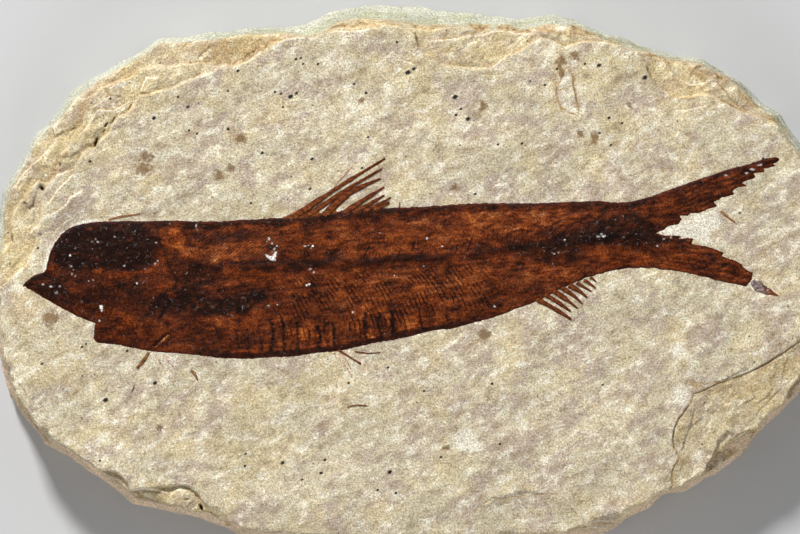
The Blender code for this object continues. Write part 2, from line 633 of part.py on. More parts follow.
def main():
    clear_scene()
    parts = collection("fossil_fish_slab")
    cutters = collection("cutters")
    limestone_slab(parts, cutters)
    fossil_fish(parts, cutters)
    loose_bones(parts)


main()
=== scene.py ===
"""The looks of the fossil fish slab: its broken limestone, the varnished fish and its loose bones.

Places on the face are written as pixels of the 800 x 534 picture, x to the right and y down, and
at() turns them into millimetres of the model. Heights and sizes are in millimetres. Each piece is
worked out in millimetres and becomes metres when its object is made.
"""

import math

import bpy
import numpy as np
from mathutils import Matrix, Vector, bvhtree, geometry, kdtree


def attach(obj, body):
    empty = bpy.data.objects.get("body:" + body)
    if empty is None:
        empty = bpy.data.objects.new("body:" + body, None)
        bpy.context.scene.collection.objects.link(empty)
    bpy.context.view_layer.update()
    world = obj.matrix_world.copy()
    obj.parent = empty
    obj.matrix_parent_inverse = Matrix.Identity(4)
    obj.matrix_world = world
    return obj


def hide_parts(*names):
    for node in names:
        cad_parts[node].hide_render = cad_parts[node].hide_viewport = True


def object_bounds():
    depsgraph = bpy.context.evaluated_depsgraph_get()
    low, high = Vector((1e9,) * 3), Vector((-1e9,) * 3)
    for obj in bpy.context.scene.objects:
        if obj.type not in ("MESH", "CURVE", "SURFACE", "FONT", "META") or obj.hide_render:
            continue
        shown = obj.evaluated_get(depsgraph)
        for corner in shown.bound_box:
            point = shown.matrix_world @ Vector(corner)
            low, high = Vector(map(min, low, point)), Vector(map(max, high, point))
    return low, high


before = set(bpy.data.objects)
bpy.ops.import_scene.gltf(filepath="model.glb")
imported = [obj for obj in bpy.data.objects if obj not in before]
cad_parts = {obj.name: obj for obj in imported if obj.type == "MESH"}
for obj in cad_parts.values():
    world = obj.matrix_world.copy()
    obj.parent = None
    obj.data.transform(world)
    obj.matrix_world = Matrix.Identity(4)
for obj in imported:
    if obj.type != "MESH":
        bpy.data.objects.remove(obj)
CAD_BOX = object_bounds()

MM = 0.001
PIXEL = 0.115  # millimetres to one pixel of the picture, on the face
MIDDLE = np.array([418.0, 275.25])  # the pixel over the origin
VIEW_CENTRE = np.array([400.0, 267.0])
PICTURE_WIDTH = 800

FACE = 8.2  # height of the face that carries the fish
SHELF = 7.6
RIM = 6.9
HIGHEST = CAD_BOX[1][2] / MM - 0.01


def at(points):
    """Picture pixels as millimetres of the model."""
    return (np.asarray(points, float) - MIDDLE) * PIXEL * np.array([1, -1])


def pixels(spots):
    """Millimetres of the model as picture pixels."""
    return spots[:, :2] / PIXEL * np.array([1, -1]) + MIDDLE


# ---------------------------------------------------------------- numbers


def scatter(cells, seed):
    """An even spread of values from -1 to 1, one for each whole-number cell."""
    a, b, c = cells.astype(np.int64).T
    h = (a * 374761393 + b * 668265263 + c * 974634777 + seed * 362437) & 0xFFFFFFFF
    h = ((h ^ (h >> 13)) * 1274126177) & 0xFFFFFFFF
    h = ((h ^ (h >> 15)) * 2246822519) & 0xFFFFFFFF
    return (h ^ (h >> 16)) / 0xFFFFFFFF * 2 - 1


def smooth_noise(spots, seed):
    """Noise from -1 to 1 with features about one unit across."""
    cell = np.floor(spots)
    f = spots - cell
    f = f * f * f * (f * (f * 6 - 15) + 10)
    total = 0
    for corner in np.ndindex(2, 2, 2):
        share = np.prod(np.where(corner, f, 1 - f), axis=1)
        total = total + share * scatter(cell + corner, seed)
    return total


def rough(spots, size, seed, octaves=3, stretch=(1, 1, 1), turn=0.0, fade=0.5):
    """Layered noise: features of this size in the spots' own units, stretched along a turned X."""
    c, s = math.cos(turn), math.sin(turn)
    x = (spots[:, 0] * c + spots[:, 1] * s) / stretch[0]
    y = (spots[:, 1] * c - spots[:, 0] * s) / stretch[1]
    z = (spots[:, 2] if spots.shape[1] > 2 else np.zeros(len(spots))) / stretch[2]
    base = np.column_stack([x, y, z]) / size
    total, weight, share = 0, 0, 1.0
    for k in range(octaves):
        total = total + share * smooth_noise(base * 2**k + 17.3 * k, seed + k)
        weight += share
        share *= fade
    return total / weight * 1.6


def drift(p, size, seed):
    """A two-way push for each spot, from -1 to 1 each way, that varies over this size."""
    return np.column_stack([rough(p, size, seed, 3), rough(p, size, seed + 10, 3)])


def ease(low, high, values):
    """From 0 at low to 1 at high, smoothly; low may be the greater of the two."""
    t = np.clip((values - low) / (high - low), 0, 1)
    return t * t * (3 - 2 * t)


def smooth_line(points, spacing):
    """Points every spacing or so along a smooth curve through the given ones."""
    points = np.asarray(points, float)
    padded = np.concatenate([points[:1], points, points[-1:]])
    out = []
    for p0, p1, p2, p3 in zip(padded, padded[1:], padded[2:], padded[3:]):
        steps = max(1, int(round(np.linalg.norm(p2 - p1) / spacing)))
        t = np.arange(steps)[:, None] / steps
        out.append(0.5 * (2 * p1 + (p2 - p0) * t + (2 * p0 - 5 * p1 + 4 * p2 - p3) * t**2
                          + (3 * p1 - p0 - 3 * p2 + p3) * t**3))
    return np.concatenate([*out, points[-1:]])


def straight_line(points, spacing):
    """Points every spacing or so along the straight runs between the given ones."""
    points = np.asarray(points, float)
    out = []
    for start, run in zip(points[:-1], np.diff(points, axis=0)):
        steps = max(1, int(round(np.linalg.norm(run) / spacing)))
        out.append(start + run * np.arange(steps)[:, None] / steps)
    return np.concatenate([*out, points[-1:]])


def ring(outline, spacing):
    """Points every spacing or so along a closed outline."""
    return straight_line([*outline, outline[0]], spacing)[:-1]


def each_run(spots, line):
    """For each straight run of a line: its start, its vector, and each spot's nearest place and distance."""
    line = np.asarray(line, float)
    for start, run in zip(line[:-1], np.diff(line, axis=0)):
        t = np.clip(((spots - start) @ run) / max(run @ run, 1e-9), 0, 1)
        yield start, run, t, np.linalg.norm(spots - start - t[:, None] * run, axis=1)


def distance(spots, line):
    """How far each spot is from a line, and how far along the line, from 0 to 1, its nearest place is."""
    best, along, gone = np.full(len(spots), np.inf), np.zeros(len(spots)), 0.0
    for _, run, t, d in each_run(spots, line):
        nearer = d < best
        best[nearer] = d[nearer]
        along[nearer] = gone + t[nearer] * np.linalg.norm(run)
        gone += np.linalg.norm(run)
    return best, along / max(gone, 1e-9)


def toward_middle(spots, line):
    """1 on the side of a line nearer the slab's middle and 0 on the other."""
    best, side = np.full(len(spots), np.inf), np.zeros(len(spots))
    for start, run, _, d in each_run(spots, line):
        (x, y), (middle_x, middle_y) = (spots - start).T, MIDDLE - start
        same = (run[0] * y - run[1] * x) * (run[0] * middle_y - run[1] * middle_x) > 0
        nearer = d < best
        best[nearer], side[nearer] = d[nearer], same[nearer]
    return side


def near(spots, line, reach):
    """The numbers of the spots within reach of a line's box."""
    line = np.asarray(line, float)
    low, high = line.min(axis=0) - reach, line.max(axis=0) + reach
    return np.flatnonzero(((spots > low) & (spots < high)).all(axis=1))


def inside(spots, outline):
    """Which spots lie inside a closed outline."""
    outline = np.asarray(outline, float)
    x, y = spots.T
    odd = np.zeros(len(spots), bool)
    for (x1, y1), (x2, y2) in zip(outline, np.roll(outline, -1, axis=0)):
        if y1 == y2:
            continue
        crosses = (y1 > y) != (y2 > y)
        odd ^= crosses & (x < (x2 - x1) * (y - y1) / (y2 - y1) + x1)
    return odd


def from_edge(spots, outline, reach):
    """How far spots lie inside a closed outline, less than 0 outside and never past reach."""
    best = np.full(len(spots), float(reach))
    for a, b in zip(outline, [*outline[1:], outline[0]]):
        k = near(spots, (a, b), reach)
        best[k] = np.minimum(best[k], distance(spots[k], (a, b))[0])
    return np.where(inside(spots, outline), best, -best)


def patch(spots, outline, soft):
    """1 inside an outline and 0 outside, fading over soft either side of it."""
    d, _ = distance(spots, [*outline, outline[0]])
    return ease(-soft, soft, np.where(inside(spots, outline), d, -d))


def stroke(spots, line, width):
    """1 along a line, fading over its width."""
    return np.exp(-((distance(spots, line)[0] / width) ** 2))


# ---------------------------------------------------------------- meshes

ROW = 0.866  # between staggered rows, as a share of the space between points
SAME = 1e-6  # points closer than this are one


def placed(name, data):
    made = bpy.data.objects.new(name, data)
    bpy.context.scene.collection.objects.link(made)
    return made


def show(name, points, faces, material):
    """Makes a piece of points in millimetres, held inside the solid model's own box."""
    low, high = np.array(CAD_BOX[0]), np.array(CAD_BOX[1])
    points = np.clip(points * MM, low, high)
    mesh = bpy.data.meshes.new(name)
    mesh.from_pydata(points.tolist(), [], faces)
    mesh.update()
    mesh.polygons.foreach_set("use_smooth", np.ones(len(mesh.polygons), bool))
    mesh.materials.append(material)
    made = placed(name, mesh)
    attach(made, "root")
    return made


def loop(count):
    """The edges of a closed ring of so many points."""
    return [(k, (k + 1) % count) for k in range(count)]


def cap(points, edges, outline):
    """Triangles over flat points joined by edges, as far as they lie inside the outline."""
    faces = geometry.delaunay_2d_cdt([Vector(p) for p in points], edges, [], 0, SAME, False)[2]
    faces = np.array(faces)
    return faces[inside(points[faces].mean(axis=1), outline)]


def filled(outline, inner, clearance):
    """Triangles over an outline, through inner points that stay clear of it.

    Returns the points, the outline's first, then the faces and how far each point is from the rim.
    """
    count = len(outline)
    tree = kdtree.KDTree(count)
    for k, (x, y) in enumerate(outline):
        tree.insert((x, y, 0), k)
    tree.balance()
    clear = np.array([tree.find((x, y, 0))[2] for x, y in inner])
    inner, clear = inner[clear > clearance], clear[clear > clearance]
    corners = [Vector(p) for p in np.concatenate([outline, inner])]
    points, _, faces, origins, _, _ = geometry.delaunay_2d_cdt(corners, loop(count), [], 0, SAME, True)
    to_rim = np.concatenate([np.zeros(count), clear])
    reach = np.array([to_rim[group[0]] if group else 0 for group in origins])
    points, faces = np.array([tuple(p) for p in points]), np.array(faces)
    return points, faces[inside(points[faces].mean(axis=1), outline)], reach


def hexagons(low, high, spacing):
    """Two arrays, x and y, of points in staggered rows."""
    x, y = np.meshgrid(np.arange(low[0], high[0], spacing), np.arange(low[1], high[1], spacing * ROW))
    x[1::2] += spacing / 2
    return x, y


def paint(piece, name, values):
    """Keeps four values for each point of a piece under a name that its material reads."""
    layer = piece.data.color_attributes.new(name, "FLOAT_COLOR", "POINT")
    layer.data.foreach_set("color", values.ravel())


# ---------------------------------------------------------------- materials


class Nodes:
    """Short names for building one material's nodes, with its places in millimetres as mm."""

    def __init__(self, name):
        self.material = bpy.data.materials.new(name)
        self.material.use_nodes = True
        self.tree = self.material.node_tree
        self.shader = self.tree.nodes["Principled BSDF"]
        places = self.add("TexCoord", {}).outputs["Object"]
        self.mm = self.add("VectorMath", {0: places, "Scale": 1 / MM}, operation="SCALE").outputs[0]

    def add(self, kind, inputs, **settings):
        """A new node with its settings, and each input fed by another node's output or set to a value."""
        node = self.tree.nodes.new("ShaderNode" + kind)
        for setting, value in settings.items():
            setattr(node, setting, value)
        self.feed(node, inputs)
        return node

    def feed(self, node, inputs):
        for socket, value in inputs.items():
            if hasattr(value, "links"):
                self.tree.links.new(value, node.inputs[socket])
            else:
                node.inputs[socket].default_value = value

    def turned(self, source, turn, stretch):
        """Places in which a pattern comes out turned, and stretched along its own axes."""
        inputs = {"Vector": source, "Rotation": (0, 0, turn), "Scale": stretch}
        return self.add("Mapping", inputs, vector_type="TEXTURE").outputs[0]

    def noise(self, scale, detail=3.0, rough_share=0.55, source=None, warp=0.0):
        return self.add("TexNoise", {
            "Vector": source or self.mm, "Scale": scale, "Detail": detail, "Roughness": rough_share,
            "Distortion": warp,
        }).outputs["Fac"]

    def cells(self, scale):
        """How far each place is from the middle of its cell."""
        return self.add("TexVoronoi", {"Vector": self.mm, "Scale": scale}).outputs["Distance"]

    def spread(self, value, low, high, to_low=0.0, to_high=1.0, smooth=True):
        inputs = {"Value": value, "From Min": low, "From Max": high, "To Min": to_low, "To Max": to_high}
        kind = "SMOOTHSTEP" if smooth else "LINEAR"
        return self.add("MapRange", inputs, interpolation_type=kind).outputs["Result"]

    def level(self, value, low, high, to_low, to_high):
        return self.spread(value, low, high, to_low, to_high, smooth=False)

    def math(self, operation, *values):
        return self.add("Math", dict(enumerate(values)), operation=operation).outputs[0]

    def mix(self, share, a, b, blend="MIX"):
        a, b = (value if hasattr(value, "links") else (*value, 1) for value in (a, b))
        inputs = {"Factor": share, "A": a, "B": b}
        return self.add("Mix", inputs, data_type="RGBA", blend_type=blend).outputs["Result"]

    def shaded(self, colour, shade):
        """The colour made lighter or darker."""
        return self.add("HueSaturation", {"Color": colour, "Value": shade}).outputs[0]

    def bump(self, height, strength, depth, under=None):
        inputs = {"Height": height, "Strength": strength, "Distance": depth * MM}
        return self.add("Bump", {**inputs, "Normal": under} if under else inputs).outputs[0]

    def spots(self, source, marks):
        """1 at the middle of flat oval marks, falling to 0 at their edges.

        Each mark is a middle and its reach each way in pixels, and its turn in degrees.
        """
        strongest = 0.0
        for middle, reach, turn in marks:
            oval = self.add("Mapping", {
                "Vector": source, "Location": (*at(middle), FACE), "Rotation": (0, 0, math.radians(turn)),
                "Scale": (reach[0] * PIXEL, reach[1] * PIXEL, 50),
            }, vector_type="TEXTURE").outputs[0]
            ball = self.add("TexGradient", {"Vector": oval}, gradient_type="SPHERICAL").outputs["Fac"]
            strongest = self.math("MAXIMUM", strongest, ball)
        return strongest

    def thin_line(self, phase, width):
        """1 where the phase is half way round, falling to 0 within a share of a turn."""
        middle = self.math("ABSOLUTE", self.math("SUBTRACT", self.math("FRACT", phase), 0.5))
        return self.spread(middle, width, width * 0.25)

    def attribute(self, name):
        """Colour, red, green, blue and fourth share of what paint() kept under this name."""
        found = self.add("Attribute", {}, attribute_name=name).outputs
        parts = self.add("SeparateColor", {0: found["Color"]}).outputs
        return found["Color"], *parts[:3], found["Alpha"]


CREAM = (0.645, 0.56, 0.385)
MAUVE = (0.50, 0.405, 0.315)
PALE_CREAM = (0.82, 0.75, 0.59)
TAN = (0.38, 0.285, 0.17)
STRAW = (0.66, 0.54, 0.30)
SIDE_WHITE = (0.57, 0.565, 0.455)
PALE_OLIVE = (0.47, 0.465, 0.32)
OLIVE = (0.39, 0.38, 0.25)
SIDE_CREAM = (0.52, 0.46, 0.30)
SIDE_TAN = (0.76, 0.575, 0.40)
RIM_TINT = (1.0, 0.965, 0.88)
FRESH_WHITE = (0.88, 0.83, 0.70)
OCHRE = (0.47, 0.325, 0.155)
IRON_BROWN = (0.13, 0.065, 0.02)
# Painted shade in the deep cracks.
CRACK_SHADE_BROWN = (0.07, 0.04, 0.015)
STAIN_BROWN = (0.18, 0.088, 0.024)
SPECK_BLACK = (0.02, 0.019, 0.018)
# Grey-white of the painted highlights on the varnish.
PAINTED_GLINT_GREY = (0.32, 0.28, 0.27)
FLOOR_GREY = (0.50, 0.50, 0.50)
FLOOR_PALE = (0.53, 0.53, 0.53)

# Brown stains on the face: centre, reach in pixels, turn in degrees.
STAINS = (
    ((146, 157), (10, 9), 0), ((144, 169), (12, 11), 0), ((219, 175), (7, 8), 40),
    ((231, 168), (8, 6), 0), ((241, 138), (8, 7), 0), ((361, 101), (5, 5), 0),
    ((483, 106), (5, 8), 0), ((455, 188), (6, 6), 0), ((629, 105), (6, 6), 0),
    ((594, 138), (6, 11), 0), ((580, 133), (7, 7), 0), ((484, 335), (11, 10), 0),
    ((446, 448), (6, 4), 0), ((50, 319), (14, 11), 0), ((160, 428), (6, 6), 0),
    ((561, 62), (8, 9), 20), ((575, 56), (9, 8), 0), ((561.5, 72), (5, 10), 10),
)
# Larger black mineral grains: reach in pixels, and the middles of those of that reach.
GRAINS = (
    (2, ((197, 133.6), (228, 91), (530, 81), (740, 213), (100, 460.5), (388, 367.6), (602.8, 384.7),
          (86, 344))),
    (2.2, ((178, 97), (189, 130.5), (110, 98.5), (301, 58), (303, 64), (281, 94), (283, 107),
          (354, 84), (397, 42), (251, 203), (368, 137), (362, 168), (475, 194), (498, 144.6),
          (522, 143.4), (545, 85), (557, 69), (585, 64), (622, 123), (599.4, 133), (611, 145),
          (763, 158.5), (245, 466), (302, 479.5), (348.7, 383), (424, 391), (441, 457), (377.6, 490),
          (500, 444), (82, 347), (38, 248), (245.5, 454))),
    (2.4, ((90, 161.5), (318, 64), (275, 92), (366, 93), (461, 109), (42, 363.6), (127, 351),
          (325, 460), (396, 493), (492, 383.6))),
    (2.6, ((238, 71), (296, 59), (296.5, 93), (456, 115), (228, 129), (312, 159), (310, 189),
          (609, 118))),
    (2.8, ((188, 107), (262, 153), (321, 473))),
    (3, ((414, 69),)),
    (3.2, ((282.4, 462.8),)),
    (3.4, ((154, 118), (389.7, 472), (155, 383))),
    (3.6, ((599, 65.4),)),
    (3.8, ((468, 119),)),
    (4, ((290.5, 96.5), (645, 77.5))),
    (4.2, ((455, 97), (105.6, 400))),
    (4.4, ((408, 72.5),)),
)


def face_colour(n, along):
    """Cream stone clouded with mauve and straw, and streaked pale and tan along the grain."""
    colour = n.mix(n.spread(n.noise(0.42, 5, 0.66, along), 0.44, 0.60), CREAM, MAUVE)
    colour = n.mix(n.spread(n.noise(0.16, 4, 0.6), 0.48, 0.64, 0, 0.6), colour, STRAW)
    streak = n.noise(0.95, 4, 0.66, along)
    colour = n.mix(n.spread(streak, 0.50, 0.66), colour, PALE_CREAM)
    return n.mix(n.spread(streak, 0.47, 0.32, 0, 0.72), colour, TAN)


def side_colour(n, beds):
    """The broken side: whitish below, a green-grey band at the upper right, then cream at the top."""
    x, y, z = n.add("SeparateXYZ", {0: n.mm}).outputs
    height = n.math("ADD", z, n.level(beds, 0.3, 0.7, -0.9, 0.9))
    upper_right = n.math("MULTIPLY", n.spread(y, 12, 20), n.spread(x, -34, -18))
    band = n.math("MULTIPLY", n.spread(height, 2.9, 3.6), upper_right)
    band = n.math("MULTIPLY", band, n.spread(n.noise(0.35, 4, 0.65), 0.42, 0.56, 0.15, 1.0))
    side = n.mix(band, SIDE_WHITE, n.mix(n.spread(x, 14, 26), PALE_OLIVE, OLIVE))
    side = n.mix(n.spread(height, 5.2, 6.2), side, SIDE_CREAM)
    return n.mix(n.spread(y, 6, -10, 0, 0.9), side, SIDE_TAN)


def stained(n, colour, fine):
    """Brown stains that wander a little off their plain ovals."""
    push = n.add("TexNoise", {"Vector": n.mm, "Scale": 1.3, "Detail": 3}).outputs["Color"]
    pushed = n.add("VectorMath", {0: push, 1: (0.8, 0.8, 0), 2: n.mm}, operation="MULTIPLY_ADD").outputs[0]
    centred = n.add("VectorMath", {0: pushed, 1: (0.4, 0.4, 0)}, operation="SUBTRACT").outputs[0]
    ragged = n.level(n.noise(2.4, 4, 0.7), 0.3, 0.7, -0.50, 0.34)
    stains = n.spread(n.math("ADD", n.spots(centred, STAINS), ragged), 0.0, 0.60)
    return n.mix(n.math("MULTIPLY", stains, n.spread(fine, 0.3, 0.7, 0.6, 1.0)), colour, STAIN_BROWN)


def speckled(n, colour, dust):
    """Crisp black grains of mineral: the larger ones in their places, and a scatter of tiny ones."""
    marks = [(place, (reach * 0.95, reach * 0.72), 30) for reach, places in GRAINS for place in places]
    specks = n.math("ADD", n.spots(n.mm, marks), n.level(dust, 0.3, 0.7, -0.35, 0.30))
    specks = n.spread(specks, 0.18, 0.42)
    specks = n.math("MAXIMUM", specks, n.spread(n.cells(0.40), 0.055, 0.030, 0, 0.85))
    specks = n.math("MAXIMUM", specks, n.spread(n.cells(0.85), 0.065, 0.030, 0, 0.45))
    return n.mix(specks, colour, SPECK_BLACK)


def limestone_material():
    n = Nodes("limestone")
    _, rust, fresh_and_highlight, dark, outer = n.attribute("stone_marks")
    along = n.turned(n.mm, DIAGONAL, (1.6, 1, 1))
    fine, dust, cloud = n.noise(4.6, 3, 0.72), n.noise(10.0, 2, 0.7), n.noise(0.22, 4, 0.62, along)
    beds = n.noise(0.9, 4, 0.65, n.turned(n.mm, 0, (2.5, 2.5, 0.42)))
    at_side = n.spread(outer, 0.5, 1)

    colour = n.mix(n.spread(outer, 0, 0.5), face_colour(n, along), RIM_TINT, "MULTIPLY")
    colour = n.mix(at_side, colour, side_colour(n, beds))
    # Fresh white breaks, with the painted highlights along the flakes' edges.
    colour = n.mix(n.math("MULTIPLY", fresh_and_highlight, n.spread(fine, 0.3, 0.6, 0.55, 1.0)), colour, FRESH_WHITE)
    blotch = n.spread(n.noise(1.6, 4, 0.7), 0.36, 0.60, 0.5, 1.0)
    # Rust, with the painted shadow lines at the foot of the steps, in yellow-brown and iron brown.
    colour = n.mix(n.math("MULTIPLY", n.spread(rust, 0.0, 0.5), blotch), colour, OCHRE)
    colour = n.mix(n.math("MULTIPLY", n.spread(rust, 0.5, 1.0, 0, 0.9), blotch), colour, IRON_BROWN)
    # Painted shade in the cracks, darker where they are deep.
    colour = n.mix(n.math("MULTIPLY", dark, 0.9), colour, CRACK_SHADE_BROWN)
    colour = speckled(n, stained(n, colour, fine), dust)
    # Tones that vary at random, with painted shade: the fine grain is darker where the same noise sinks in
    # the bump.
    shade = n.math("MULTIPLY", n.level(fine, 0.32, 0.68, 0.56, 1.36), n.level(dust, 0.32, 0.68, 0.56, 1.40))
    shade = n.math("MULTIPLY", shade, n.level(cloud, 0.34, 0.66, 0.86, 1.14))

    relief = n.bump(fine, 1.0, 0.16)
    relief = n.bump(n.noise(1.0, 3, 0.6, along), 1.0, 0.12, relief)
    relief = n.bump(n.math("MULTIPLY", beds, at_side), 1.0, 0.5, relief)
    n.feed(n.shader, {
        "Base Color": n.shaded(colour, shade), "Roughness": n.spread(fine, 0.2, 0.8, 0.75, 0.95),
        "Specular IOR Level": 0.2, "Normal": relief,
    })
    return n.material


def fish_material():
    n = Nodes("varnished_bone")
    painted, _, _, _, glinting = n.attribute("bone_colour")
    _, rib_phase, rib_share, spine_phase, spine_share = n.attribute("bone_lines")
    fibre = n.noise(3.6, 4, 0.72, n.turned(n.mm, math.radians(8), (3.2, 1, 1)))
    fine = n.noise(5.8, 3, 0.72)
    shade = n.math("MULTIPLY", n.level(fibre, 0.34, 0.66, 0.56, 1.44), n.level(fine, 0.34, 0.66, 0.36, 1.68))

    # Thin dark lines of ribs and spines.
    waver = n.level(n.noise(0.9, 3, 0.6), 0.3, 0.7, -0.07, 0.07)
    rib = n.math("MULTIPLY", n.thin_line(n.math("ADD", rib_phase, waver), 0.24), rib_share)
    spine = n.math("MULTIPLY", n.thin_line(n.math("ADD", spine_phase, waver), 0.11), spine_share)
    cut = n.math("MAXIMUM", rib, spine)
    shade = n.math("MULTIPLY", shade, n.level(cut, 0, 1, 1.1, 0.25))

    # Painted highlights: hair-thin curls and dots of grey-white light painted into the varnish's colour.
    thread = n.math("ABSOLUTE", n.math("SUBTRACT", n.noise(1.5, 1, 0.5, warp=0.8), 0.5))
    curls = n.math("MULTIPLY", n.spread(thread, 0.012, 0.003), n.spread(n.noise(2.1, 1, 0.5), 0.55, 0.64))
    glints = n.math("MAXIMUM", curls, n.spread(n.cells(0.75), 0.060, 0.035))
    share = n.math("MULTIPLY", n.math("MULTIPLY", glints, glinting), 0.75)

    relief = n.bump(n.math("SUBTRACT", fine, n.math("MULTIPLY", cut, 0.5)), 0.8, 0.09)
    relief = n.bump(fibre, 0.5, 0.10, relief)
    n.feed(n.shader, {
        "Base Color": n.mix(share, n.shaded(painted, shade), PAINTED_GLINT_GREY),
        "Roughness": n.spread(fine, 0.3, 0.7, 0.35, 0.60), "Specular IOR Level": 0.06,
        "Coat Weight": 0.04, "Coat Roughness": 0.12, "Normal": relief, "Coat Normal": relief,
    })
    return n.material


def floor_material():
    n = Nodes("pale_floor")
    n.feed(n.shader, {"Base Color": n.mix(n.noise(0.004, 2, 0.5), FLOOR_GREY, FLOOR_PALE), "Roughness": 0.8})
    return n.material


# ---------------------------------------------------------------- the slab

# Edge of the lamina that carries the fish, clockwise from the left end.
FACE_EDGE = (
    (-4, 292), (0, 286), (8, 281), (14, 275.5), (24, 267.5), (31.5, 253.5), (34.5, 244.5), (35.5, 239),
    (39, 224.5), (40, 216), (41, 207.5), (41.5, 199.5), (44, 191), (48, 185.5), (54, 179), (58, 174),
    (67, 171), (74.5, 169.5), (78, 163.5), (80, 158.5), (83, 153.5), (88, 149), (96, 147), (100.5, 140),
    (104.5, 136.5), (109.5, 131.5), (111.5, 126.5), (114.5, 121.5), (118, 117), (125.5, 114.5),
    (130.5, 110), (133.5, 105.5), (137, 100.5), (139.5, 95.5), (149.5, 94), (155, 91.5), (162.5, 89.5),
    (173.5, 87), (184, 83), (192, 79.5), (198.5, 76.5), (206, 74), (212.5, 73), (219, 68), (234, 66),
    (243, 62.5), (250, 60), (258, 55), (264, 49), (274, 43), (283, 40.5), (300, 37), (318, 33.5),
    (330, 31.5), (348.5, 31), (363.5, 29.5), (376, 26), (398.5, 26), (407.5, 31), (415, 35.5),
    (418.5, 46), (426, 53.5), (433, 58), (441, 64.5), (459.5, 67), (474, 69), (489, 68.5), (496.5, 64),
    (505.5, 56), (522, 50), (532, 44), (540.5, 38), (548, 39.5), (557.5, 44), (565, 47.5), (580, 42.5),
    (597, 41), (612, 45), (622, 45.5), (631.5, 49), (639.5, 56.5), (646, 64), (648, 72), (652.5, 79.5),
    (658.5, 87), (664, 91), (671.5, 96), (681.5, 98.5), (689.5, 97.5), (702, 94), (711, 96),
    (722.5, 102.5), (731.5, 107.5), (743, 112.5), (759.5, 118), (769.5, 124), (781, 126), (790, 135),
    (796, 147), (808, 178), (820, 207), (828, 242), (830, 285), (821, 322), (800, 340), (794.5, 346),
    (782.5, 352.5), (768.5, 362.5), (757.5, 368), (747, 373.5), (736, 378), (720.5, 382), (707.5, 388.5),
    (694.5, 394), (691.5, 402.5), (685, 410.5), (678.5, 419), (674, 427.5), (672.5, 438.5), (674, 447),
    (678, 454.5), (679, 459), (673.5, 469), (671.5, 476.5), (673, 485), (668, 491), (655, 494.5),
    (645, 503.5), (632, 506.5), (612, 520.5), (560, 530), (500, 534.5), (430, 537), (350, 536.5),
    (290, 533), (260, 531.5), (240.5, 526.5), (229, 521.5), (215.5, 513.5), (205.5, 503.5), (200.5, 499),
    (197, 494), (190.5, 487.5), (182.5, 485), (167, 486.5), (145, 489), (129.5, 490), (126, 481),
    (120, 474), (111, 470), (100, 470), (92, 470), (86, 464), (82, 459), (77, 454.5), (66, 452),
    (58, 452), (50, 447.5), (41.5, 434.5), (38, 426.5), (30, 414.5), (20, 401.5), (10, 388), (2, 377),
    (-3, 352), (-5, 320),
)
# Edge of the lamina under it.
SHELF_EDGE = (
    (-6, 300), (-4, 262), (0, 255.5), (5.5, 248.5), (11, 242), (10, 232), (9.5, 226.5), (11.5, 217),
    (14.5, 209.5), (19, 202), (26, 197), (31.5, 187.5), (38, 181.5), (46, 184), (51, 181), (54.5, 176.5),
    (55.5, 170), (60, 164), (61, 155), (69, 146), (71, 138), (76, 131), (82, 124), (83, 113), (85, 106),
    (87, 99.5), (94.5, 94.5), (99, 90.5), (103, 87.5), (110.5, 84), (119.5, 80.5), (129.5, 77.5),
    (139.5, 70), (149.5, 67.5), (159.5, 66), (168, 67), (182, 64.5), (200.5, 63), (208, 65.5), (222, 66),
    (234, 64.5), (239.5, 61), (244, 57), (254.5, 51.5), (262, 46), (273, 40), (282, 36), (300, 33),
    (318, 30), (330, 28.5), (350, 28), (364, 26), (380, 23), (400, 23), (417, 29), (430, 30), (445, 28),
    (470, 24), (497, 25), (515, 28), (541, 30.5), (568, 27), (595, 34), (612, 41.5), (630, 46), (646, 52),
    (656, 57), (671, 62), (687, 66), (700, 72), (709, 77), (717.5, 81), (722.5, 87), (727.5, 93.5),
    (731.5, 101), (740, 108), (753, 113.5), (764.5, 119), (778.5, 124.5), (790, 133), (799, 146),
    (812, 174), (825, 204), (833, 240), (835, 285), (828, 328), (809, 362), (790, 390), (774, 424),
    (762, 426.5), (751, 431), (738, 435), (731.5, 441.5), (725, 451.5), (716, 449), (712, 457),
    (707.5, 463.5), (705.5, 472), (694.5, 482), (683, 488), (665, 490), (650, 500.5), (632, 509),
    (612, 524.5), (560, 533), (500, 537), (430, 539), (350, 538.5), (290, 535.5), (240, 528.5),
    (215, 519), (198, 512), (170, 505), (150, 500.5), (132, 495.5), (119, 487.5), (102, 474.5),
    (84, 461.5), (65, 454), (49, 442), (33, 424), (16, 401), (5, 378), (-3, 342),
)
